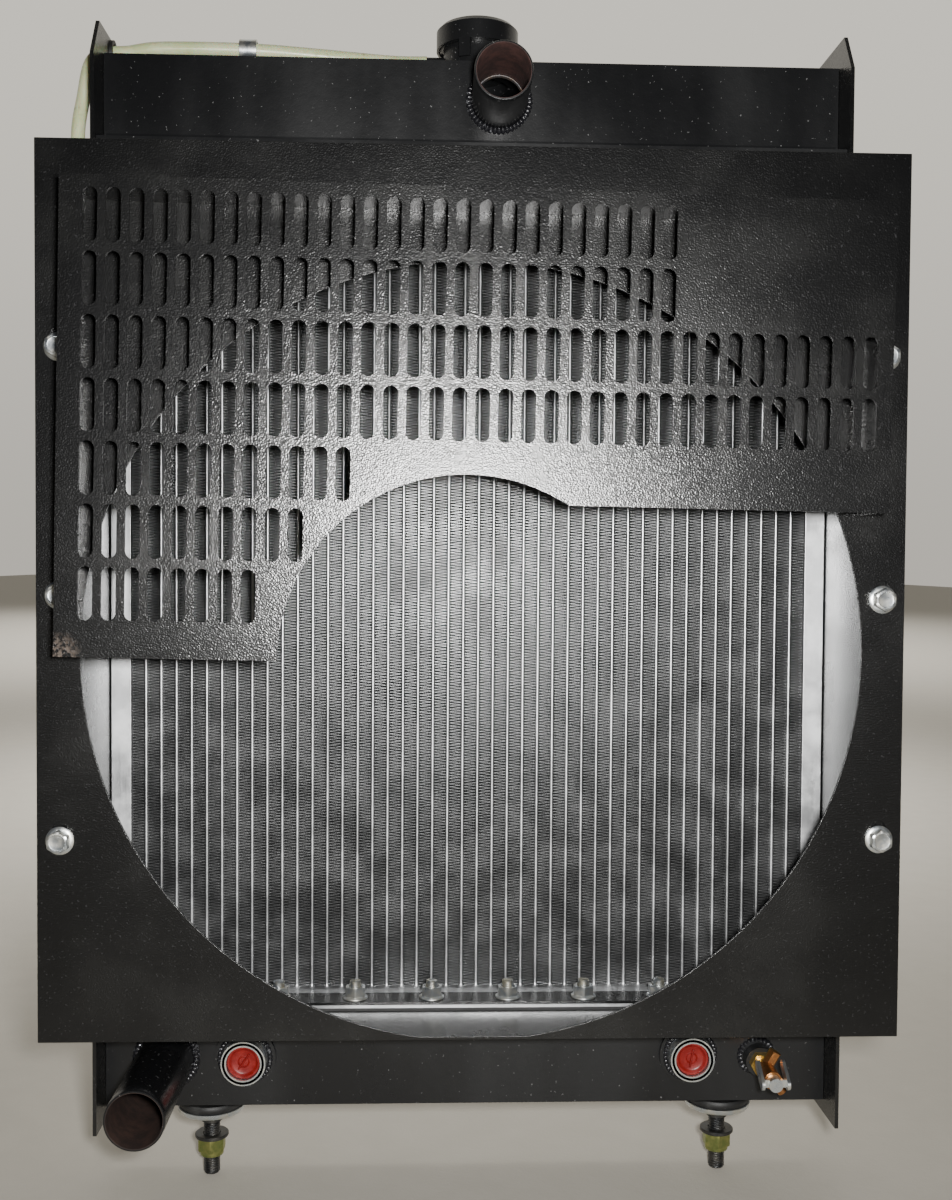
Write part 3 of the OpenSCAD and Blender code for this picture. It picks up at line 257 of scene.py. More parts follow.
def enamel(name="satin_enamel", pipe=None, inner=0.0, rust=(0.095, 0.034, 0.020)):
    """Sprayed enamel. pipe is an axis (x, z) whose inside, under the radius inner, is bare and rusty."""
    f = Finish(name)
    peel = f.noise(160.0, 3.0)
    run = f.noise(14.0, 3.0, 0.5, f.stretched(1.0, 1.0, 0.35)).within(0.35, 0.72)
    dust = f.noise(420.0, 2.0).within(0.69, 0.74)
    tone = f.mix(run, (0.0060, 0.0062, 0.0068), (0.0100, 0.0104, 0.0110))
    tone = f.mix(dust, tone, (0.12, 0.12, 0.12))
    rough = 0.24 + 0.14 * run + 0.05 * peel + 0.2 * dust
    height = peel * 0.7 + f.noise(900.0, 2.0) * 0.25
    if pipe is not None:
        inside = 1.0 - from_axis(f, *pipe).within(inner, inner + 0.35 * MM)
        patch = f.noise(120.0, 4.0, 0.65)
        brown = f.mix(patch.within(0.35, 0.65), rust, tuple(0.45 * c for c in rust))
        tone = f.mix(inside, tone, brown)
        rough = rough + inside * (0.30 + 0.2 * patch)
        height = height + inside * f.noise(700.0, 3.0) * 0.8
    return f.set(Base_Color=tone, Roughness=rough, Normal=f.bump(height, 0.00025, 0.6))


black_coat = powder_coat()
tank_enamel = enamel()
print("black finishes made")

# %% [markdown]
# ## Bare and plated metals
# Aluminium from a brazing oven is bright with cloudy flux marks. Zinc plate on bolts is a thin
# bright layer with a bluish or yellowish cast that drifts over the surface. Brass darkens to brown
# where hands and weather reach it. Each is one metal shader whose colour and roughness drift.

# %% Metals
def brazed_aluminium(name="brazed_aluminium", streak=(1.0, 1.0, 0.06), dark=0.0):
    """Cloudy aluminium, drawn out along streak. The last argument is painted shade: the share by which every
    tone is darkened.
    """
    f = Finish(name)
    cloud = f.noise(34.0, 5.0, 0.62).within(0.34, 0.70)
    line = f.noise(520.0, 3.0, 0.6, f.stretched(*streak))
    stain = f.noise(11.0, 4.0, 0.6).within(0.60, 0.74)
    tones = ((0.58, 0.59, 0.60), (0.80, 0.81, 0.82), (0.36, 0.36, 0.35))
    # Painted shade: every tone is darkened by the share given.
    dull, bright, stained = (tuple((1.0 - dark) * c for c in tone) for tone in tones)
    tone = f.mix(cloud, dull, bright)
    tone = f.mix(stain * 0.5, tone, stained)
    rough = 0.30 + 0.16 * cloud + 0.12 * line
    return f.set(Base_Color=tone, Metallic=0.92, Roughness=rough, Normal=f.bump(line, 0.00008, 0.5))


def plated(name, cool, warm, base_rough=0.24):
    """Plated steel whose colour drifts from cool to warm, with dull spots."""
    f = Finish(name)
    drift = f.noise(150.0, 3.0, 0.6).within(0.35, 0.68)
    fog = f.noise(900.0, 2.0)
    spot = f.noise(330.0, 3.0, 0.6).within(0.64, 0.72)
    tone = f.mix(drift, cool, warm)
    tone = f.mix(spot * 0.45, tone, tuple(0.4 * c for c in cool))
    rough = base_rough + 0.14 * drift + 0.08 * fog + 0.2 * spot
    return f.set(Base_Color=tone, Metallic=0.95, Roughness=rough, Normal=f.bump(fog, 0.00004, 0.4))


def weathered_brass(name="weathered_brass", barrel=None):
    """Brass that is yellow when bare and copper brown on the part between two depths along Y."""
    f = Finish(name)
    drift = f.noise(240.0, 4.0, 0.6).within(0.36, 0.66)
    fog = f.noise(1100.0, 2.0)
    tone = f.mix(drift, (0.62, 0.44, 0.13), (0.42, 0.27, 0.08))
    if barrel is not None:
        y = f.axis(1)
        band = y.within(barrel[0] - MM, barrel[0]) * (1.0 - y.within(barrel[1], barrel[1] + MM))
        tone = f.mix(band, tone, f.mix(drift, (0.56, 0.25, 0.085), (0.36, 0.16, 0.06)))
    rough = 0.26 + 0.18 * drift + 0.06 * fog
    return f.set(Base_Color=tone, Metallic=0.95, Roughness=rough, Normal=f.bump(fog, 0.00005, 0.5))


aluminium = brazed_aluminium()
# The fins are this aluminium with 60 % painted shade, darker for the shadow between their close folds.
shaded_fin_metal = brazed_aluminium("shaded_fin_metal", (0.3, 1.0, 1.0), dark=0.60)
header_metal = brazed_aluminium("header_metal", (0.05, 1.0, 1.0))
zinc = plated("bright_zinc", (0.66, 0.71, 0.75), (0.73, 0.72, 0.66))
olive_zinc = plated("yellow_zinc", (0.25, 0.30, 0.10), (0.40, 0.40, 0.14), 0.28)
stud_zinc = plated("stud_zinc", (0.42, 0.45, 0.48), (0.50, 0.47, 0.36), 0.30)
spring_steel = plated("spring_steel", (0.48, 0.50, 0.53), (0.55, 0.54, 0.52), 0.22)
dark_steel = plated("dark_steel", (0.070, 0.072, 0.075), (0.11, 0.105, 0.095), 0.36)
barrel_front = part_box("drain_body")[0][1]
BARREL = 20 * MM
brass = weathered_brass()
drain_brass = weathered_brass("drain_brass", (barrel_front, barrel_front + BARREL))
print("metal finishes made")

# %% [markdown]
# ## Rubber, red plastic and the old hose
# Moulded plastic has a faint orange peel and scuffs. Rubber is dull with a pale bloom. The overflow
# hose was clear once and has gone a cloudy yellow green.

# %% Soft materials
def rubber_finish(name="black_rubber"):
    """Dull rubber with a pale bloom and a fine grain."""
    f = Finish(name)
    bloom = f.noise(60.0, 4.0, 0.6).within(0.45, 0.75)
    grain = f.noise(1400.0, 2.0)
    tone = f.mix(bloom, (0.012, 0.012, 0.012), (0.034, 0.034, 0.033))
    return f.set(Base_Color=tone, Roughness=0.55 + 0.2 * bloom, Normal=f.bump(grain, 0.00008, 0.5))


def moulded_red(name="moulded_red"):
    """Red plastic with a faint peel and pale scuffs."""
    f = Finish(name)
    drift = f.noise(210.0, 3.0).within(0.35, 0.7)
    scuff = f.noise(500.0, 4.0, 0.7, f.stretched(1.0, 1.0, 0.3)).within(0.68, 0.74)
    tone = f.mix(drift, (0.165, 0.005, 0.004), (0.22, 0.009, 0.006))
    tone = f.mix(scuff * 0.35, tone, (0.50, 0.14, 0.11))
    return f.set(
        Base_Color=tone, Roughness=0.36 + 0.14 * drift + 0.15 * scuff,
        Normal=f.bump(f.noise(800.0, 2.0), 0.00006, 0.5), Subsurface_Weight=0.08, Subsurface_Scale=0.002,
    )


def aged_hose(name="aged_hose"):
    """Clear plastic gone cloudy, with grime in patches."""
    f = Finish(name)
    cloud = f.noise(45.0, 4.0, 0.6).within(0.35, 0.7)
    grime = f.noise(160.0, 4.0, 0.65).within(0.58, 0.72)
    tone = f.mix(cloud, (0.50, 0.56, 0.30), (0.62, 0.64, 0.42))
    tone = f.mix(grime * 0.5, tone, (0.20, 0.20, 0.10))
    return f.set(
        Base_Color=tone, Roughness=0.22 + 0.2 * cloud + 0.2 * grime,
        Normal=f.bump(f.noise(500.0, 2.0), 0.00008, 0.4), Subsurface_Weight=0.25, Subsurface_Scale=0.004,
    )


rubber = rubber_finish()
red_plastic = moulded_red()
hose_plastic = aged_hose()
FINISH_OF_SLOT = {
    "satin_black": tank_enamel, "black_coat": black_coat, "rubber": rubber, "aluminium": aluminium,
    "zinc": zinc, "olive_zinc": olive_zinc, "spring_steel": spring_steel, "brass": brass,
    "red_plastic": red_plastic, "dark_steel": dark_steel, "clear_hose": hose_plastic,
}
slot_of = {s["node"]: s["material_slot"] for s in frame["record"]["subparts"]}
for node, part in nodes.items():
    finish = FINISH_OF_SLOT[slot_of[node]]
    for i in range(len(part.data.materials)):
        part.data.materials[i] = finish
for node in ("top_header", "bottom_header"):
    nodes[node].data.materials[0] = header_metal
print("finishes on", len(nodes), "nodes")

# %% [markdown]
# ## Surfaces from grids
# Most new pieces are one sheet of points: one direction runs round, the other along a profile. The
# points are worked out as whole arrays, and the faces follow from the grid. Edges that meet are
# merged, and the normals are turned outwards.

# %% Mesh helpers
def quads(rows, cols, wrap_rows, wrap_cols, offset=0):
    """Face corners of a grid of rows by cols points, joined round where wrap says so."""
    r = np.arange(rows if wrap_rows else rows - 1)[:, None]
    c = np.arange(cols if wrap_cols else cols - 1)[None, :]
    r2, c2 = (r + 1) % rows, (c + 1) % cols
    corners = [r * cols + c, r * cols + c2, r2 * cols + c2, r2 * cols + c]
    return np.stack([k.ravel() for k in np.broadcast_arrays(*corners)], axis=1) + offset


def add_piece(name, points, faces, finish, slot, body="radiator", merge=1e-6, smooth=True):
    """Makes a mesh object from points and faces, closes it, and sets it on its body."""
    mesh = bpy.data.meshes.new(name)
    mesh.from_pydata(np.asarray(points).reshape(-1, 3).tolist(), [], [list(map(int, q)) for q in faces])
    bm = bmesh.new()
    bm.from_mesh(mesh)
    if merge:
        bmesh.ops.remove_doubles(bm, verts=bm.verts, dist=merge)
        bmesh.ops.dissolve_degenerate(bm, edges=bm.edges, dist=merge / 2)
    bmesh.ops.recalc_face_normals(bm, faces=bm.faces)
    bm.to_mesh(mesh)
    bm.free()
    if smooth:
        mesh.shade_smooth()
        mesh.set_sharp_from_angle(angle=math.radians(32))
    piece = bpy.data.objects.new(name, mesh)
    bpy.context.collection.objects.link(piece)
    mesh.materials.append(finish)
    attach(piece, body)
    return piece


def joined(grids, wrap_rows=False):
    """Points and faces of several grids in one mesh. Their columns run round closed rings."""
    points, faces, count = [], [], 0
    for grid in grids:
        rows, cols = grid.shape[:2]
        points.append(grid.reshape(-1, 3))
        faces.append(quads(rows, cols, wrap_rows, True, count))
        count += rows * cols
    return np.concatenate(points), np.concatenate(faces)


def frame_of(axis):
    """Three directions: two across and one along the named axis, which is y or z with its sign."""
    along = np.zeros(3)
    along["xyz".index(axis[1])] = -1.0 if axis[0] == "-" else 1.0
    across = np.array((1.0, 0.0, 0.0))
    return across, np.cross(along, across), along


def turned(profile, centre, axis="-y", steps=64, across=None, hexed=None):
    """Points of a turned shape: radius and height of each profile point, carried round the axis.

    With across, the rows in hexed are held inside a hexagon of that width: its radius at an angle
    is half the width over the cosine of the angle to the nearest flat's middle.
    """
    profile = np.asarray(profile, float)
    angle = np.linspace(0, 2 * np.pi, steps, endpoint=False)
    radius = np.repeat(profile[:, :1], steps, axis=1)
    if across:
        flat = (angle + np.pi / 6) % (np.pi / 3) - np.pi / 6
        limit = across / 2 / np.cos(flat)
        rows = slice(*hexed)
        radius[rows] = np.minimum(radius[rows], limit[None, :])
    u, v, along = frame_of(axis)
    ring = np.cos(angle)[None, :, None] * u + np.sin(angle)[None, :, None] * v
    return np.asarray(centre) + radius[:, :, None] * ring + profile[:, 1][:, None, None] * along


def turned_piece(name, profile, centres, finish, slot, closed=True, body="radiator", **how):
    """The same turned shape at each centre, as one piece. closed joins the last row to the first."""
    points, faces = joined([turned(profile, centre, **how) for centre in centres], closed)
    return add_piece(name, points, faces, finish, slot, body)


def soft_edged(node, radius, finish=None, body="radiator", steps=2, corner=30):
    """A copy of a CAD part whose loose triangles are joined and whose sharp edges are rounded."""
    source = nodes[node].data
    co = np.empty(len(source.vertices) * 3)
    source.vertices.foreach_get("co", co)
    mesh = bpy.data.meshes.new(node + "_soft")
    mesh.from_pydata(co.reshape(-1, 3).tolist(), [], [list(p.vertices) for p in source.polygons])
    bm = bmesh.new()
    bm.from_mesh(mesh)
    bmesh.ops.remove_doubles(bm, verts=bm.verts, dist=2e-6)
    bmesh.ops.dissolve_degenerate(bm, edges=bm.edges, dist=1e-6)
    flat = math.radians(0.4)
    bmesh.ops.dissolve_limit(bm, angle_limit=flat, verts=bm.verts, edges=bm.edges)
    bm.to_mesh(mesh)
    bm.free()
    mesh.shade_smooth()
    piece = bpy.data.objects.new(node + "_soft", mesh)
    bpy.context.collection.objects.link(piece)
    mesh.materials.append(finish or FINISH_OF_SLOT[slot_of[node]])
    edge = piece.modifiers.new("edges", "BEVEL")
    edge.width, edge.segments, edge.limit_method = radius, steps, "ANGLE"
    edge.angle_limit = math.radians(corner)
    edge.harden_normals = True
    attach(piece, body)
    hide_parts(node)
    return piece


print("mesh helpers ready")

# %% [markdown]
# ## Folded and welded sheet
# Sheet metal is never sharp: a laser-cut edge is broken by the coat, and a fold has a radius about
# as large as the sheet. A bevel on the joined copy gives each of these parts that soft line, which
# is what catches the light on a black part.

# %% Sheet parts
for node, radius, steps in (
    ("fan_plate", 0.45 * MM, 2), ("left_side_plate", 0.6 * MM, 2),
    ("right_side_plate", 0.6 * MM, 2), ("top_tank", 1.6 * MM, 3), ("bottom_tank", 1.6 * MM, 3),
    ("top_clamp_strips", 0.4 * MM, 2), ("bottom_clamp_strips", 0.4 * MM, 2),
    ("left_mount_bracket", 0.9 * MM, 2), ("right_mount_bracket", 0.9 * MM, 2),
    ("left_core_side", 0.5 * MM, 2), ("right_core_side", 0.5 * MM, 2),
    ("tank_hose_clip", 0.3 * MM, 2), ("side_hose_clip", 0.3 * MM, 2), ("filler_neck", 0.5 * MM, 2),
):
    soft_edged(node, radius, steps=steps)
guard_low, guard_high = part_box("finger_guard")
guard_coat = powder_coat("guard_coat", (guard_low[0] + 4 * MM, guard_low[2] + 4 * MM))
soft_edged("finger_guard", 0.5 * MM, guard_coat)
soft_edged("cap_shell", 0.6 * MM, body="cap", steps=3)
soft_edged("drain_body", 0.35 * MM, drain_brass)
soft_edged("drain_key", 0.5 * MM, body="drain_key")

# %% [markdown]
# ## Where the tank wall folds into its flange
# The flange is the tank's own sheet bent outwards, so wall and flange meet in a hollow curve. The
# strip is a prism: its cross-section is the corner point and a quarter circle about a centre that
# stands one radius away from both faces.

# %% Tank folds
BEND = 8.0 * MM
FLANGE_SHEET = 6 * MM
TANK_HALF_DEPTH = 45 * MM
SECTIONS = 9
turn_angle = np.linspace(0, np.pi / 2, 12)
flange_faces = (
    ("top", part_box("top_gasket")[1][2] + FLANGE_SHEET, 1),
    ("bottom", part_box("bottom_gasket")[0][2] - FLANGE_SHEET, -1),
)
folds = []
for end, flange_z, sign in flange_faces:
    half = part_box(f"{end}_tank")[1][0] - 1.5 * MM
    for face in (-1, 1):
        y = face * (TANK_HALF_DEPTH + BEND - BEND * np.cos(turn_angle))
        z = flange_z + sign * (BEND - BEND * np.sin(turn_angle))
        y, z = np.append(y, face * (TANK_HALF_DEPTH - MM)), np.append(z, flange_z - sign * MM)
        places = np.linspace(-half, half, SECTIONS)
        folds.append(np.stack([np.column_stack([np.full(len(y), x), y, z]) for x in places]))
points, faces = joined(folds)
faces = faces.tolist()
ring = len(turn_angle) + 1
for start in range(0, len(points), SECTIONS * ring):
    for cap in (start, start + (SECTIONS - 1) * ring):
        faces.append(list(range(cap, cap + ring)))
add_piece("tank_folds", points, faces, tank_enamel, "satin_black")
print("folds:", len(folds))

# %% [markdown]
# ## Fins
# Between every two tubes runs one long strip of thin aluminium, folded back and forth hundreds of
# times and brazed to the tubes at each bend. The CAD holds a few coarse folds. Here each strip gets
# its real folds: a zigzag line of points, given a thickness and a depth, all strips at once. Each
# fold is a shallow roof from front to back, highest in the middle.

# %% Fin strips
FOLD = 0.98 * MM
SHEET = 0.13 * MM
LIFT = 1.7 * MM
fins_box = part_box("fins")
tube_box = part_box("coolant_tubes")
COLUMNS = 45
pitch = (tube_box[1][0] - tube_box[0][0] - 2 * MM) / (COLUMNS - 2)
fin_wide = pitch - 2.1 * MM


def fin_strips(name, columns):
    """Zigzag strips: x swings side to side, z climbs one fold at a time, and mid depth stands higher."""
    folds = int((fins_box[1][2] - fins_box[0][2] - SHEET - LIFT) / FOLD)
    step = np.arange(folds + 1)
    side = np.where(step % 2 == 0, -0.5, 0.5) * fin_wide
    up = fins_box[0][2] + step * FOLD
    wobble = rng.normal(0, 0.05 * MM, (len(columns), folds + 1))
    wobble += rng.normal(0, 0.05 * MM, (len(columns), 1))
    x = np.asarray(columns)[:, None] * pitch + side[None, :]
    z = up[None, :] + np.clip(wobble, -0.12 * MM, 0.12 * MM)
    depth = fins_box[1][1]
    lower = [(-depth, 0.0), (0.0, LIFT), (depth, 0.0)]
    corner = np.array(lower + [(y, lift + SHEET) for y, lift in lower[::-1]])
    around = len(corner)
    grid = np.empty((len(columns), folds + 1, around, 3))
    grid[..., 0] = x[..., None]
    grid[..., 1] = corner[:, 0]
    grid[..., 2] = z[..., None] + corner[:, 1]
    starts = np.arange(len(columns)) * (folds + 1) * around
    faces = [quads(folds + 1, around, False, True, start) for start in starts]
    halves = ((0, 1, 4, 5), (1, 2, 3, 4))
    for start in starts:
        for last in (start, start + around * folds):
            faces.append(np.array(halves) + last)
    # The strips wear the aluminium copy with painted shade.
    return add_piece(name, grid, np.concatenate(faces), shaded_fin_metal, "aluminium", merge=0, smooth=False)


centres = np.arange(COLUMNS) - (COLUMNS - 1) / 2
banks = [fin_strips(f"fin_bank_{i + 1}", part) for i, part in enumerate(np.array_split(centres, 3))]
for bank in banks:
    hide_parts("fins")
print("fin strips:", COLUMNS, "faces:", sum(len(b.data.polygons) for b in banks))

# %% [markdown]
# ## Braze fillets where tubes meet the headers
# Molten braze creeps up each tube and leaves a small bright collar. It is the tube's own outline, two
# half circles and two straights, made wider towards the header.

# %% Braze fillets
def stadium(half_length, radius, count=28):
    """Outline of two half circles of one radius, their middles half_length from the centre along Y."""
    angle = np.linspace(0, 2 * np.pi, count, endpoint=False)
    shift = np.where(np.sin(angle) >= 0, half_length, -half_length)
    return np.stack([radius * np.cos(angle), shift + radius * np.sin(angle)], axis=1)


tube_half = (tube_box[1][1] - tube_box[0][1]) / 2 - MM
rows = ((2.6, 0.0), (1.9, 0.5), (1.3, 1.3), (1.02, 2.6), (0.9, 2.6), (0.9, 0.0))
fillets = []
for foot, sign in ((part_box("bottom_header")[1][2], 1), (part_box("top_header")[0][2], -1)):
    for i in range(COLUMNS - 1):
        x = tube_box[0][0] + MM + i * pitch
        rings = []
        for radius, height in rows:
            outline = stadium(tube_half, radius * MM) + (x, 0)
            rings.append(np.column_stack([outline, np.full(len(outline), foot + sign * height * MM)]))
        fillets.append(np.stack(rings))
add_piece("braze_fillets", *joined(fillets, True), aluminium, "aluminium")
print("braze fillets:", 2 * (COLUMNS - 1))

# %% [markdown]
# ## Hexagon bolts and nuts
# A hexagon head is a turned shape held inside six flats. Where its corners are turned off at the
# top, the cut makes the curved lines that every real nut has. The same function makes the flange
# bolts of the fan plate, the nuts along the headers and the nuts under the mounts.

# %% Flange bolts of the fan plate
plate_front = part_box("fan_plate")[0][1]
bolt_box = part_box("fan_plate_bolts")
FLANGE = 8.95 * MM
HEX_8 = 13 * MM
bolt_xs = (bolt_box[0][0] + FLANGE, bolt_box[1][0] - FLANGE)
bolt_zs = np.linspace(bolt_box[0][2] + FLANGE, bolt_box[1][2] - FLANGE, 3)
head = [
    (0, -20), (3.95, -20), (3.95, 0), (8.7, 0), (8.95, 0.35), (8.9, 1.0), (7.6, 1.9), (7.5, 2.0), (7.5, 6.9),
    (7.1, 7.45), (6.2, 7.95), (5.2, 8.0), (4.9, 7.6), (4.2, 7.45), (0, 7.45),
]
bolt_centres = [(x, plate_front, z) for x in bolt_xs for z in bolt_zs]
flange_bolts = turned_piece(
    "flange_bolts", np.array(head) * MM, bolt_centres, zinc, "zinc", closed=False, axis="-y", steps=48,
    across=HEX_8, hexed=(7, 11),
)
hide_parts("fan_plate_bolts")
print("flange bolts:", len(bolt_centres))

# %% Header studs and nuts
PER_ROW = 10
STUD_8 = 4 * MM
NUT_FLANGE = 8.5 * MM
nut_shape = [
    (4.05, 0), (8.3, 0), (8.5, 0.3), (8.4, 0.9), (7.2, 1.7), (7.5, 1.9), (7.5, 7.2), (7.0, 7.7), (6.3, 8.0),
    (4.8, 8.0), (4.1, 7.4),
]
tail_shape = [(0, 0), (3.95, 0), (3.95, 23.2), (3.4, 23.8), (0, 23.8)]
for end, sign, axis in (("top", -1, "-z"), ("bottom", 1, "+z")):
    low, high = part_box(f"{end}_header_bolts")
    xs = np.linspace(low[0] + STUD_8, high[0] - STUD_8, PER_ROW)
    nut_low, nut_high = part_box(f"{end}_header_nuts")
    ys = (nut_low[1] + NUT_FLANGE, nut_high[1] - NUT_FLANGE)
    seat = nut_low[2] if sign > 0 else nut_high[2]
    root = low[2] if sign > 0 else high[2]
    nuts = turned_piece(
        f"{end}_flange_nuts", np.array(nut_shape) * MM, [(x, y, seat) for x in xs for y in ys], zinc, "zinc",
        axis=axis, steps=36, across=HEX_8, hexed=(5, 9),
    )
    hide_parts(f"{end}_header_nuts")
    studs = turned_piece(
        f"{end}_studs", np.array(tail_shape) * MM, [(x, y, root) for x in xs for y in ys], stud_zinc,
        "olive_zinc", closed=False, axis=axis, steps=24,
    )
    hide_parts(f"{end}_header_bolts")
print("header studs:", 4 * PER_ROW)

# %% [markdown]
# ## Isolator studs, nuts and rubbers
# A thread is a tube whose radius rises and falls along its length, and whose waves climb one pitch
# in each turn. That is one formula on a grid: the radius depends on height minus pitch times angle
# over a full turn. The rubbers bulge where they are squeezed between bracket and cup.

# %% Mount hardware
PITCH_12 = 1.75 * MM
HEX_12 = 18 * MM
HEAD_12 = 5 * MM
stud_low, stud_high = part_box("mount_studs")
nut_low, nut_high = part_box("mount_nuts")
mount_x = nut_high[0] - HEX_12 / 2 / math.cos(math.pi / 6)
stud_top = stud_high[2] - HEAD_12
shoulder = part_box("cup_washers")[0][2] / MM
under = stud_top / MM


def both_mounts(z):
    """The left and the right mount's middle at the height z."""
    return [(side * mount_x, 0, z) for side in (-1, 1)]


def thread(centre, low, high, crest, root, steps=28):
    """Radius between root and crest: a wave of height minus pitch times turn, sharpened a little."""
    rows = int((high - low) / PITCH_12 * 6)
    z = np.linspace(low, high, rows)
    angle = np.linspace(0, 2 * np.pi, steps, endpoint=False)
    wave = 0.5 + 0.5 * np.cos(2 * np.pi * (z[:, None] / PITCH_12 - angle[None, :] / (2 * np.pi)))
    fade = np.clip((z - low) / (1.2 * MM), 0.0, 1.0)[:, None]
    radius = root + (crest - root) * wave ** 0.8 * fade
    x, y = centre + radius * np.cos(angle), radius * np.sin(angle)
    grid = np.stack([x, y, np.repeat(z[:, None], steps, 1)], axis=2)
    tip = np.repeat([[[centre, 0.0, low]]], steps, axis=1)
    top = np.repeat([[[centre, 0.0, high]]], steps, axis=1)
    return np.concatenate([tip, grid, top])


shank = [
    (0, 0), (7.1, 0), (7.5, 0.4), (7.5, shoulder), (5.43, shoulder), (5.43, under), (9.6, under),
    (10.4, under + 0.5), (10.4, under + 4.2), (9.6, under + 4.8), (8.6, under + 5), (0, under + 5),
]
grids = []
for middle in both_mounts(0):
    grids.append(thread(middle[0], stud_low[2], 0.3 * MM, 5.95 * MM, 5.15 * MM))
    grids.append(turned(np.array(shank) * MM, middle, axis="+z", steps=36, across=HEX_12, hexed=(6, 10)))
studs = add_piece("isolator_studs", *joined(grids), dark_steel, "dark_steel")
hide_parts("mount_studs")
tall = (nut_high[2] - nut_low[2]) / MM
lock_nut = [
    (6.1, 0), (8.9, 0), (9.9, 0.45), (10.4, 0.9), (10.4, tall - 4.2), (9.9, tall - 3.6), (8.4, tall - 3.3),
    (8.3, tall - 0.6), (7.6, tall), (6.5, tall), (6.1, tall - 0.5),
]
lock_nuts = turned_piece(
    "lock_nuts", np.array(lock_nut) * MM, both_mounts(nut_high[2]), olive_zinc, "olive_zinc", axis="-z",
    steps=48, across=HEX_12, hexed=(1, 6),
)
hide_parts("mount_nuts")
washer_low, washer_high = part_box("mount_washers")
thick = (washer_high[2] - washer_low[2]) / MM
washer = [(6.3, 0), (11.6, 0), (12.0, 0.4), (12.0, thick - 0.4), (11.6, thick), (6.3, thick)]
washers = turned_piece(
    "plain_washers", np.array(washer) * MM, both_mounts(washer_low[2]), dark_steel, "dark_steel", axis="+z",
)
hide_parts("mount_washers")
cup_low, cup_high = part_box("cup_washers")
deep = (cup_high[2] - cup_low[2]) / MM
cup = [
    (5.9, 0), (19.0, 0), (21.5, 0.3), (23.1, 1.1), (23.9, 2.4), (24.0, deep), (22.9, deep), (22.5, 2.9),
    (21.7, 2.0), (20.5, 1.6), (19.0, 1.5), (5.9, 1.5),
]
cups = turned_piece(
    "cup_rims", np.array(cup) * MM, both_mounts(cup_low[2]), zinc, "zinc", axis="+z", steps=96,
)
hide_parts("cup_washers")
rubber_low, rubber_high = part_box("lower_isolators")
bracket_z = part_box("left_mount_bracket")[0][2] / MM
top_z = rubber_high[2] / MM
seat = rubber_low[2] / MM
dome = [
    (5.8, seat), (20.4, seat + 0.05), (21.6, seat + 0.8), (22.2, seat + 2.8), (23.3, seat + 4.2),
    (23.6, seat + 5.8), (23.3, seat + 7.5), (22.6, bracket_z), (10.9, bracket_z), (10.9, top_z), (5.8, top_z),
]
domes = turned_piece("isolator_domes", np.array(dome) * MM, both_mounts(0), rubber, "rubber", axis="+z")
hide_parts("lower_isolators")
print("stud turns:", round((stud_top - stud_low[2]) / PITCH_12))

# %% [markdown]
# ## Welded pipes
# The two coolant pipes stand on the tank wall in a ring of weld. A bead is a ring whose thickness
# swells and shrinks many times round, once for each drop the welder laid, and it leans down onto
# the wall. The pipe itself is a turned shape with a rolled lip at the mouth, which keeps the hose on.

# %% Pipes with their lips and beads
def weld_ring(name, x, z, y, radius, thick, drops, seed):
    """A ring of overlapping drops: small radius times 1 plus a ripple of the angle, with a little noise."""
    local = np.random.default_rng(seed)
    angle = np.linspace(0, 2 * np.pi, drops * 8, endpoint=False)
    around = np.linspace(0, 2 * np.pi, 10, endpoint=False)
    slow = local.normal(0, 1, 6)
    drift = sum(slow[k] * np.sin((k + 1) * angle + slow[k - 1]) for k in range(6)) * 0.05
    ripple = np.abs(np.sin(angle * drops / 2)) ** 0.6
    size = thick * (0.62 + 0.38 * ripple + drift)
    reach = radius + size[:, None] * np.cos(around)[None, :]
    depth = np.maximum(size[:, None] * np.sin(around)[None, :], -0.2 * thick)
    grid = np.empty((len(angle), len(around), 3))
    grid[..., 0] = x + reach * np.cos(angle)[:, None]
    grid[..., 1] = y - depth
    grid[..., 2] = z + reach * np.sin(angle)[:, None]
    return add_piece(name, grid, quads(len(angle), len(around), True, True), weld_finish, "satin_black")


def weld_enamel():
    """Enamel over a bead, thin on its crests, where bare steel glints."""
    f = Finish("painted_weld")
    thin = f.noise(340.0, 3.0, 0.6).within(0.60, 0.70)
    tone = f.mix(thin, (0.010, 0.010, 0.012), (0.42, 0.43, 0.46))
    return f.set(
        Base_Color=tone, Metallic=thin * 0.9, Roughness=0.22 + 0.2 * f.noise(200.0, 2.0),
        Normal=f.bump(f.noise(600.0, 2.0), 0.0002, 0.6),
    )


weld_finish = weld_enamel()


def coolant_pipe(node, seed, rust):
    """Outer wall, rolled lip, inner wall and back edge as one closed profile carried round the axis."""
    low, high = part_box(node)
    r, wall = 19.0, 1.8
    x, z = (low[0] + high[0]) / 2, (low[2] + high[2]) / 2
    length = (high[1] - low[1]) / MM
    profile = [
        (r - wall, 0), (r, 0), (r, length - 14), (r, length - 9), (r + 0.02, length - 8), (r, length - 6),
        (r, length - 0.7), (r - 0.3, length - 0.15), (r - 0.9, length), (r - 1.5, length - 0.15),
        (r - wall, length - 0.7), (r - wall, length / 2),
    ]
    finish = enamel(node + "_enamel", (x, z), (r - wall + 0.45) * MM, rust)
    pipe = turned_piece(
        node + "_turned", np.array(profile) * MM, [(x, high[1], z)], finish, "satin_black", steps=96,
    )
    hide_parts(node)
    weld_ring(node + "_weld", x, z, high[1], (r + 1.6) * MM, 2.6 * MM, 46, seed)
    return x, z, high[1]


inlet_x, inlet_z, wall_y = coolant_pipe("inlet_pipe", 3, (0.060, 0.026, 0.022))
outlet_x, outlet_z, wall_y = coolant_pipe("outlet_pipe", 4, (0.030, 0.016, 0.012))
print("pipes at x", round(inlet_x, 4), round(outlet_x, 4))

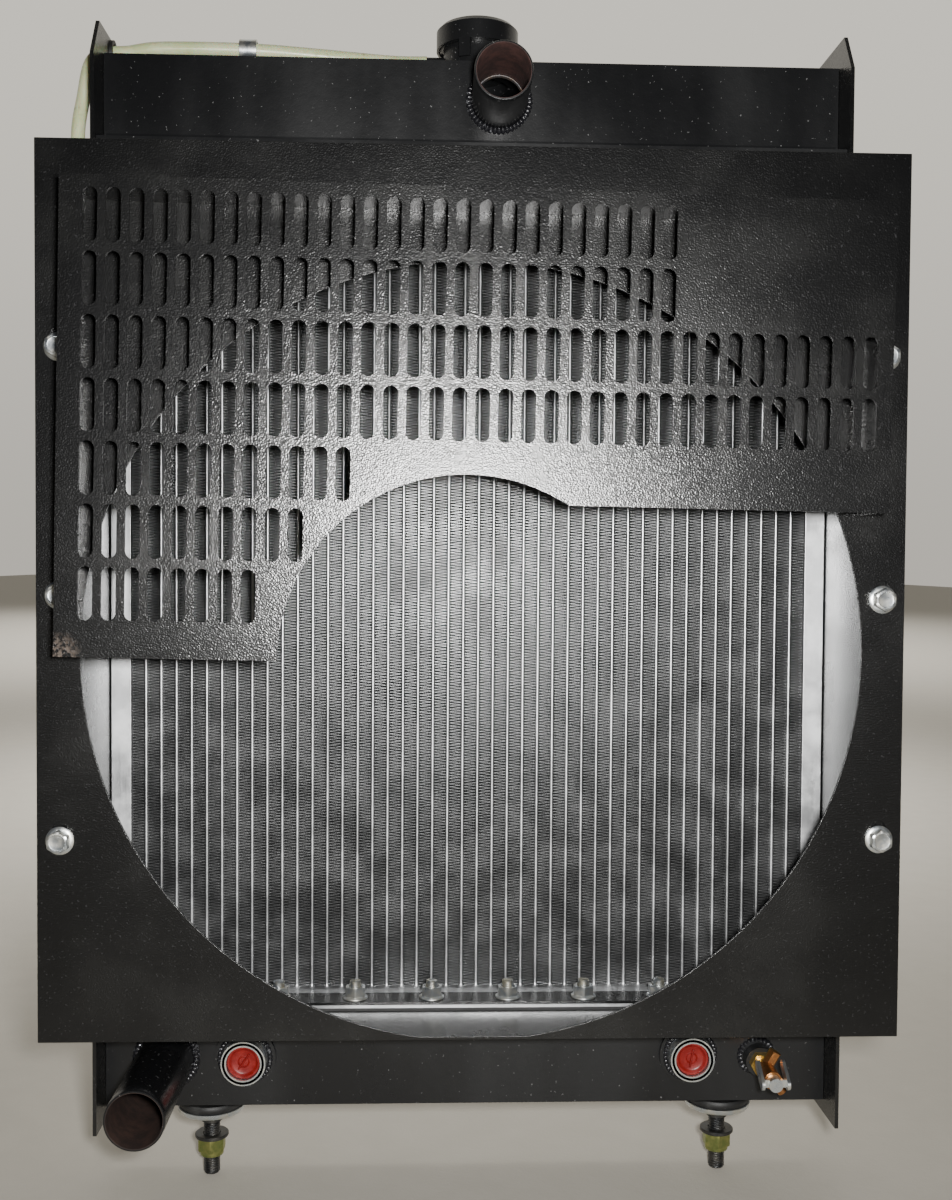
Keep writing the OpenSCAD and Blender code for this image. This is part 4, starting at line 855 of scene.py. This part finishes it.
# %% Bare rims of the two holes behind the pipes
WALL = 3 * MM
pipe_places = ((inlet_x, inlet_z), (outlet_x, outlet_z))
rim = [(16.95, 0.3), (16.6, 0.0), (16.1, 0.15), (15.9, 0.9), (16.1, 2.2), (16.6, 2.9), (16.95, 2.9)]
rims = turned_piece(
    "pipe_hole_rims", np.array(rim) * MM, [(x, wall_y + WALL, z) for x, z in pipe_places],
    plated("hole_rim_steel", (0.50, 0.50, 0.52), (0.40, 0.28, 0.20), 0.3), "zinc", steps=72,
)
print("hole rims:", len(rims.data.polygons), "faces")

# %% [markdown]
# ## Rusty film inside the top tank
# Through the inlet pipe the inner back wall of the tank shows, brown with coolant scale. A slightly
# bulged disc just in front of that wall carries the colour.

# %% Scale inside the top tank
def scale_finish():
    """Brown scale in two tones, dull and rough."""
    f = Finish("coolant_scale")
    patch = f.noise(90.0, 5.0, 0.65).within(0.3, 0.7)
    tone = f.mix(patch, (0.16, 0.060, 0.040), (0.085, 0.035, 0.026))
    grit = f.noise(500.0, 4.0)
    return f.set(Base_Color=tone, Roughness=0.75 + 0.1 * patch, Normal=f.bump(grit, 0.0003, 0.7))


scale = scale_finish()
film = np.array([(0, 0.6), (20, 0.55), (30, 0.3), (32, 0.05), (32, 0.0), (0, 0.0)]) * 0.62 * MM
FLANGE_TO_WALL = 24.2 * MM
behind = (inlet_x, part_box("top_tank")[1][1] - FLANGE_TO_WALL, inlet_z - 3 * MM)
film_piece = turned_piece("inlet_scale_film", film, [behind], scale, "satin_black", closed=False, steps=48)
print("scale film:", len(film_piece.data.polygons), "faces")

# %% [markdown]
# ## Oil ports and their red plugs
# Each port is a turned steel boss with a chamfered mouth, standing in a raised ring that the enamel
# covers. The plug is a thin moulded cup: a rim that grips the thread, a dished face, and a bar
# across the dish to pull it by.

# %% Ports
for side, body, seed, lean in (("left", "left_plug", 11, 55), ("right", "right_plug", 12, 80)):
    low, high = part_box(f"{side}_oil_fitting")
    x, z = (low[0] + high[0]) / 2, (low[2] + high[2]) / 2
    front = low[1]
    boss = [
        (15.2, -19), (15.2, -7.2), (14.9, -6.9), (14.9, -6.4), (15.2, -6.1), (15.2, -0.9), (14.9, -0.3),
        (14.3, 0), (12.6, 0), (12.0, -0.5), (11.62, -1.3), (11.6, -13.4), (8.0, -13.5), (8.0, -19),
    ]
    turned_piece(f"{side}_port_boss", np.array(boss) * MM, [(x, front, z)], zinc, "zinc", steps=72)
    weld_ring(f"{side}_port_weld", x, z, wall_y - WALL, 17.4 * MM, 1.7 * MM, 40, seed)
    p_low, p_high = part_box(f"{side}_port_plug")
    face = p_low[1]
    back = (p_high[1] - face) / MM
    cup_shape = [
        (0, -2.2), (3.0, -2.15), (3.6, -1.5), (4.2, -2.0), (7.6, -1.9), (8.6, -1.4), (9.3, -0.5),
        (9.9, -0.05), (10.8, 0), (11.25, -0.3), (11.35, -0.9), (11.1, -2.4), (11.35, -3.4), (11.1, -4.9),
        (11.35, -5.9), (11.0, -back), (9.8, -back), (9.6, -3.6), (0, -3.6),
    ]
    plug = turned_piece(
        f"{side}_red_plug", np.array(cup_shape) * MM, [(x, face, z)], red_plastic, "red_plastic",
        closed=False, body=body, steps=72,
    )
    tilt = math.radians(lean)
    s, t = np.meshgrid(np.linspace(-1, 1, 21), np.linspace(0, 2 * np.pi, 16, endpoint=False), indexing="ij")
    taper = np.sqrt(np.clip(1 - s ** 8, 0, 1))
    along, across, out = 7.0 * s, 0.75 * taper * np.cos(t), -1.9 + 1.3 * taper * np.sin(t)
    bar = np.stack([
        x + MM * (along * math.cos(tilt) - across * math.sin(tilt)),
        face - MM * out,
        z + MM * (along * math.sin(tilt) + across * math.cos(tilt)),
    ], axis=2)
    add_piece(f"{side}_plug_bar", bar, quads(21, 16, False, True), red_plastic, "red_plastic", body)
    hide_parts(f"{side}_port_plug")
print("ports at", round(z, 4))

# %% Drain boss and its bright bead
boss_low, boss_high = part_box("drain_boss")
drain_x, drain_z = (boss_low[0] + boss_high[0]) / 2, (boss_low[2] + boss_high[2]) / 2
weld_ring("drain_weld", drain_x, drain_z, wall_y, 11.2 * MM, 2.4 * MM, 26, 21)
print("drain at", round(drain_x, 4), round(drain_z, 4))

# %% [markdown]
# ## The overflow hose
# The hose is a round tube carried along a smooth curve through chosen points, the same ones the
# working model uses. The grid runs out along the outer wall and back along the bore, so the ends
# are open, as on cut hose.

# %% Hose
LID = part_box("top_tank")[1][2] / MM
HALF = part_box("top_tank")[1][0] / MM
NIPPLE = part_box("filler_neck")[0][0] / MM
PASS = (-HALF - 1.5, -20.0, LID + 9)
HOSE_OUTER, HOSE_BORE = 4.7 * MM, 3.0 * MM
route = np.array([
    (NIPPLE + 14, 0, LID + 14.3), (NIPPLE - 12, 0, LID + 14.3), (-110, -8, LID + 15), (-157, -15, LID + 15),
    (-215, -20, LID + 13), (PASS[0] + 12, PASS[1], PASS[2] + 0.6), (PASS[0] - 5, PASS[1], PASS[2] - 0.6),
    (PASS[0] - 13.5, PASS[1], PASS[2] - 8),
    (PASS[0] - 18, -20, LID - 20), (PASS[0] - 22, -21, LID - 50), (PASS[0] - 18, -22, LID - 95),
    (PASS[0] - 16, -22, LID - 150), (PASS[0] - 16, -22, LID - 199),
]) * MM


def smooth(points, steps):
    """Catmull-Rom: between two points, the curve leans on the ones before and after."""
    p = np.concatenate([points[:1], points, points[-1:]])
    t = np.linspace(0, 1, steps, endpoint=False)[None, :, None]
    a, b, c, d = (p[k : len(p) - 3 + k, None, :] for k in range(4))
    bend, twist = 2 * a - 5 * b + 4 * c - d, 3 * b - a - 3 * c + d
    curve = 0.5 * (2 * b + (c - a) * t + bend * t ** 2 + twist * t ** 3)
    return np.concatenate([curve.reshape(-1, 3), points[-1:]])


def hose_walls(path, outer, bore, sides=24):
    """Rings of the outer wall from start to end, then rings of the bore back again."""
    ahead = np.gradient(path, axis=0)
    ahead /= np.linalg.norm(ahead, axis=1)[:, None]
    u = np.cross((0.0, 1.0, 0.0), ahead)
    u /= np.linalg.norm(u, axis=1)[:, None]
    v = np.cross(ahead, u)
    angle = np.linspace(0, 2 * np.pi, sides, endpoint=False)[None, :, None]
    ring = np.cos(angle) * u[:, None] + np.sin(angle) * v[:, None]
    return np.concatenate([path[:, None] + outer * ring, (path[:, None] + bore * ring)[::-1]])


hose_line = smooth(route, 10)
walls = hose_walls(hose_line, HOSE_OUTER, HOSE_BORE)
hose = add_piece(
    "overflow_hose_clear", walls, quads(*walls.shape[:2], True, True), hose_plastic, "clear_hose",
)
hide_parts("overflow_hose")
print("hose length mm:", round(np.linalg.norm(np.diff(hose_line, axis=0), axis=1).sum() / MM))

# %% [markdown]
# ## Tacks that hold the guard
# The guard's two upright edges are tacked to the fan plate every 60 or 70 mm with short beads. Each
# tack is a stretched ball with ripples along it, half sunk in the corner.

# %% Guard tacks
def tack(centre, half=8.0, high=1.6):
    """An upright long drop: an ellipsoid with ripples along it, half sunk in the corner."""
    a = np.linspace(0, np.pi, 15)[:, None]
    b = np.linspace(0, 2 * np.pi, 12, endpoint=False)[None, :]
    girth = high * np.sin(a) * (1 + 0.12 * np.sin(9 * a))
    shape = np.stack([girth * np.cos(b), girth * np.sin(b), half * np.cos(a) + 0 * b], axis=2)
    return np.asarray(centre) + MM * shape


INSET = 1.2 * MM
places = [(guard_low[0] + INSET, plate_front, z) for z in np.linspace(0.38, 0.60, 4)]
places += [(guard_high[0] - INSET, plate_front, z) for z in np.linspace(0.47, 0.59, 3)]
add_piece("guard_tacks", *joined([tack(place) for place in places]), black_coat, "black_coat")
print("tacks:", len(places))

# %% [markdown]
# ## The stage and its light
# A pale floor carries the radiator. A small bright lamp stands beside the lens, as a flash does, so
# the rough black coat shines in a round patch and every edge throws a thin shadow. Two lamps high
# behind the radiator light the floor there and farther back, with beams narrow enough to keep
# most of their light off the floor in front. The room is bright behind the radiator and dim in
# front of it, so black faces stay black.

# %% Floor, lamps and room
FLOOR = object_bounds()[0][2] - 0.2 * MM
u, v = np.meshgrid(np.linspace(-9.0, 9.0, 19), np.linspace(-4.0, 30.0, 35), indexing="ij")
sheet = np.stack([u, v, np.full_like(u, FLOOR)], axis=2)
floor_mesh = bpy.data.meshes.new("floor")
floor_mesh.from_pydata(sheet.reshape(-1, 3).tolist(), [], quads(*u.shape, False, False).tolist())
floor = bpy.data.objects.new("floor", floor_mesh)
bpy.context.collection.objects.link(floor)
paper = Finish("pale_floor")
mottle = paper.noise(28.0, 4.0, 0.6)
floor_mesh.materials.append(paper.set(
    Base_Color=paper.mix(mottle, (0.43, 0.405, 0.355), (0.49, 0.465, 0.41)), Roughness=0.9,
    Normal=paper.bump(paper.noise(300.0, 3.0), 0.0006, 0.4),
))


def lamp(name, place, target, size, power, tone=(1.0, 0.98, 0.95), spread=math.pi):
    """A square soft lamp at place, turned to face target. spread is the full angle of its beam."""
    data = bpy.data.lights.new(name, "AREA")
    data.size, data.energy, data.color, data.spread = size, power, tone, spread
    obj = bpy.data.objects.new(name, data)
    bpy.context.collection.objects.link(obj)
    obj.location = place
    away = np.array(place) - np.array(target)
    flat = math.hypot(away[0], away[1])
    obj.rotation_euler = (math.atan2(flat, away[2]), 0.0, math.atan2(away[1], away[0]) + math.pi / 2)
    return obj


core_middle = (0.0, 0.0, 0.38)
lamp("flash", (0.012, -0.955, 0.435), core_middle, 0.05, 7.6, (1.0, 0.99, 0.97), spread=2.0)
lamp("above", (0.0, 1.65, 2.2), (0.0, 1.65, 0.0), 1.0, 23.0, spread=1.25)
lamp("far", (0.0, 6.5, 4.0), (0.0, 6.5, 0.0), 6.0, 220.0, spread=1.3)
world = bpy.data.worlds.new("studio")
bpy.context.scene.world = world
world.use_nodes = True
sky_tree = world.node_tree
toward = sky_tree.nodes.new("ShaderNodeTexCoord")
sky = Wire(sky_tree, toward.outputs["Generated"])
ahead = sky.node("ShaderNodeSeparateXYZ", None, {0: sky}, 1)
height = sky.node("ShaderNodeSeparateXYZ", None, {0: sky}, 2)
pale = sky.blend(height.within(-0.05, 0.40), (0.56, 0.53, 0.475), (0.84, 0.80, 0.71))
room = sky.blend(ahead.within(-0.15, 0.45), (0.016, 0.016, 0.017), pale)
background = sky_tree.nodes["Background"]
sky_tree.links.new(room.socket, background.inputs[0])
background.inputs[1].default_value = 1.0
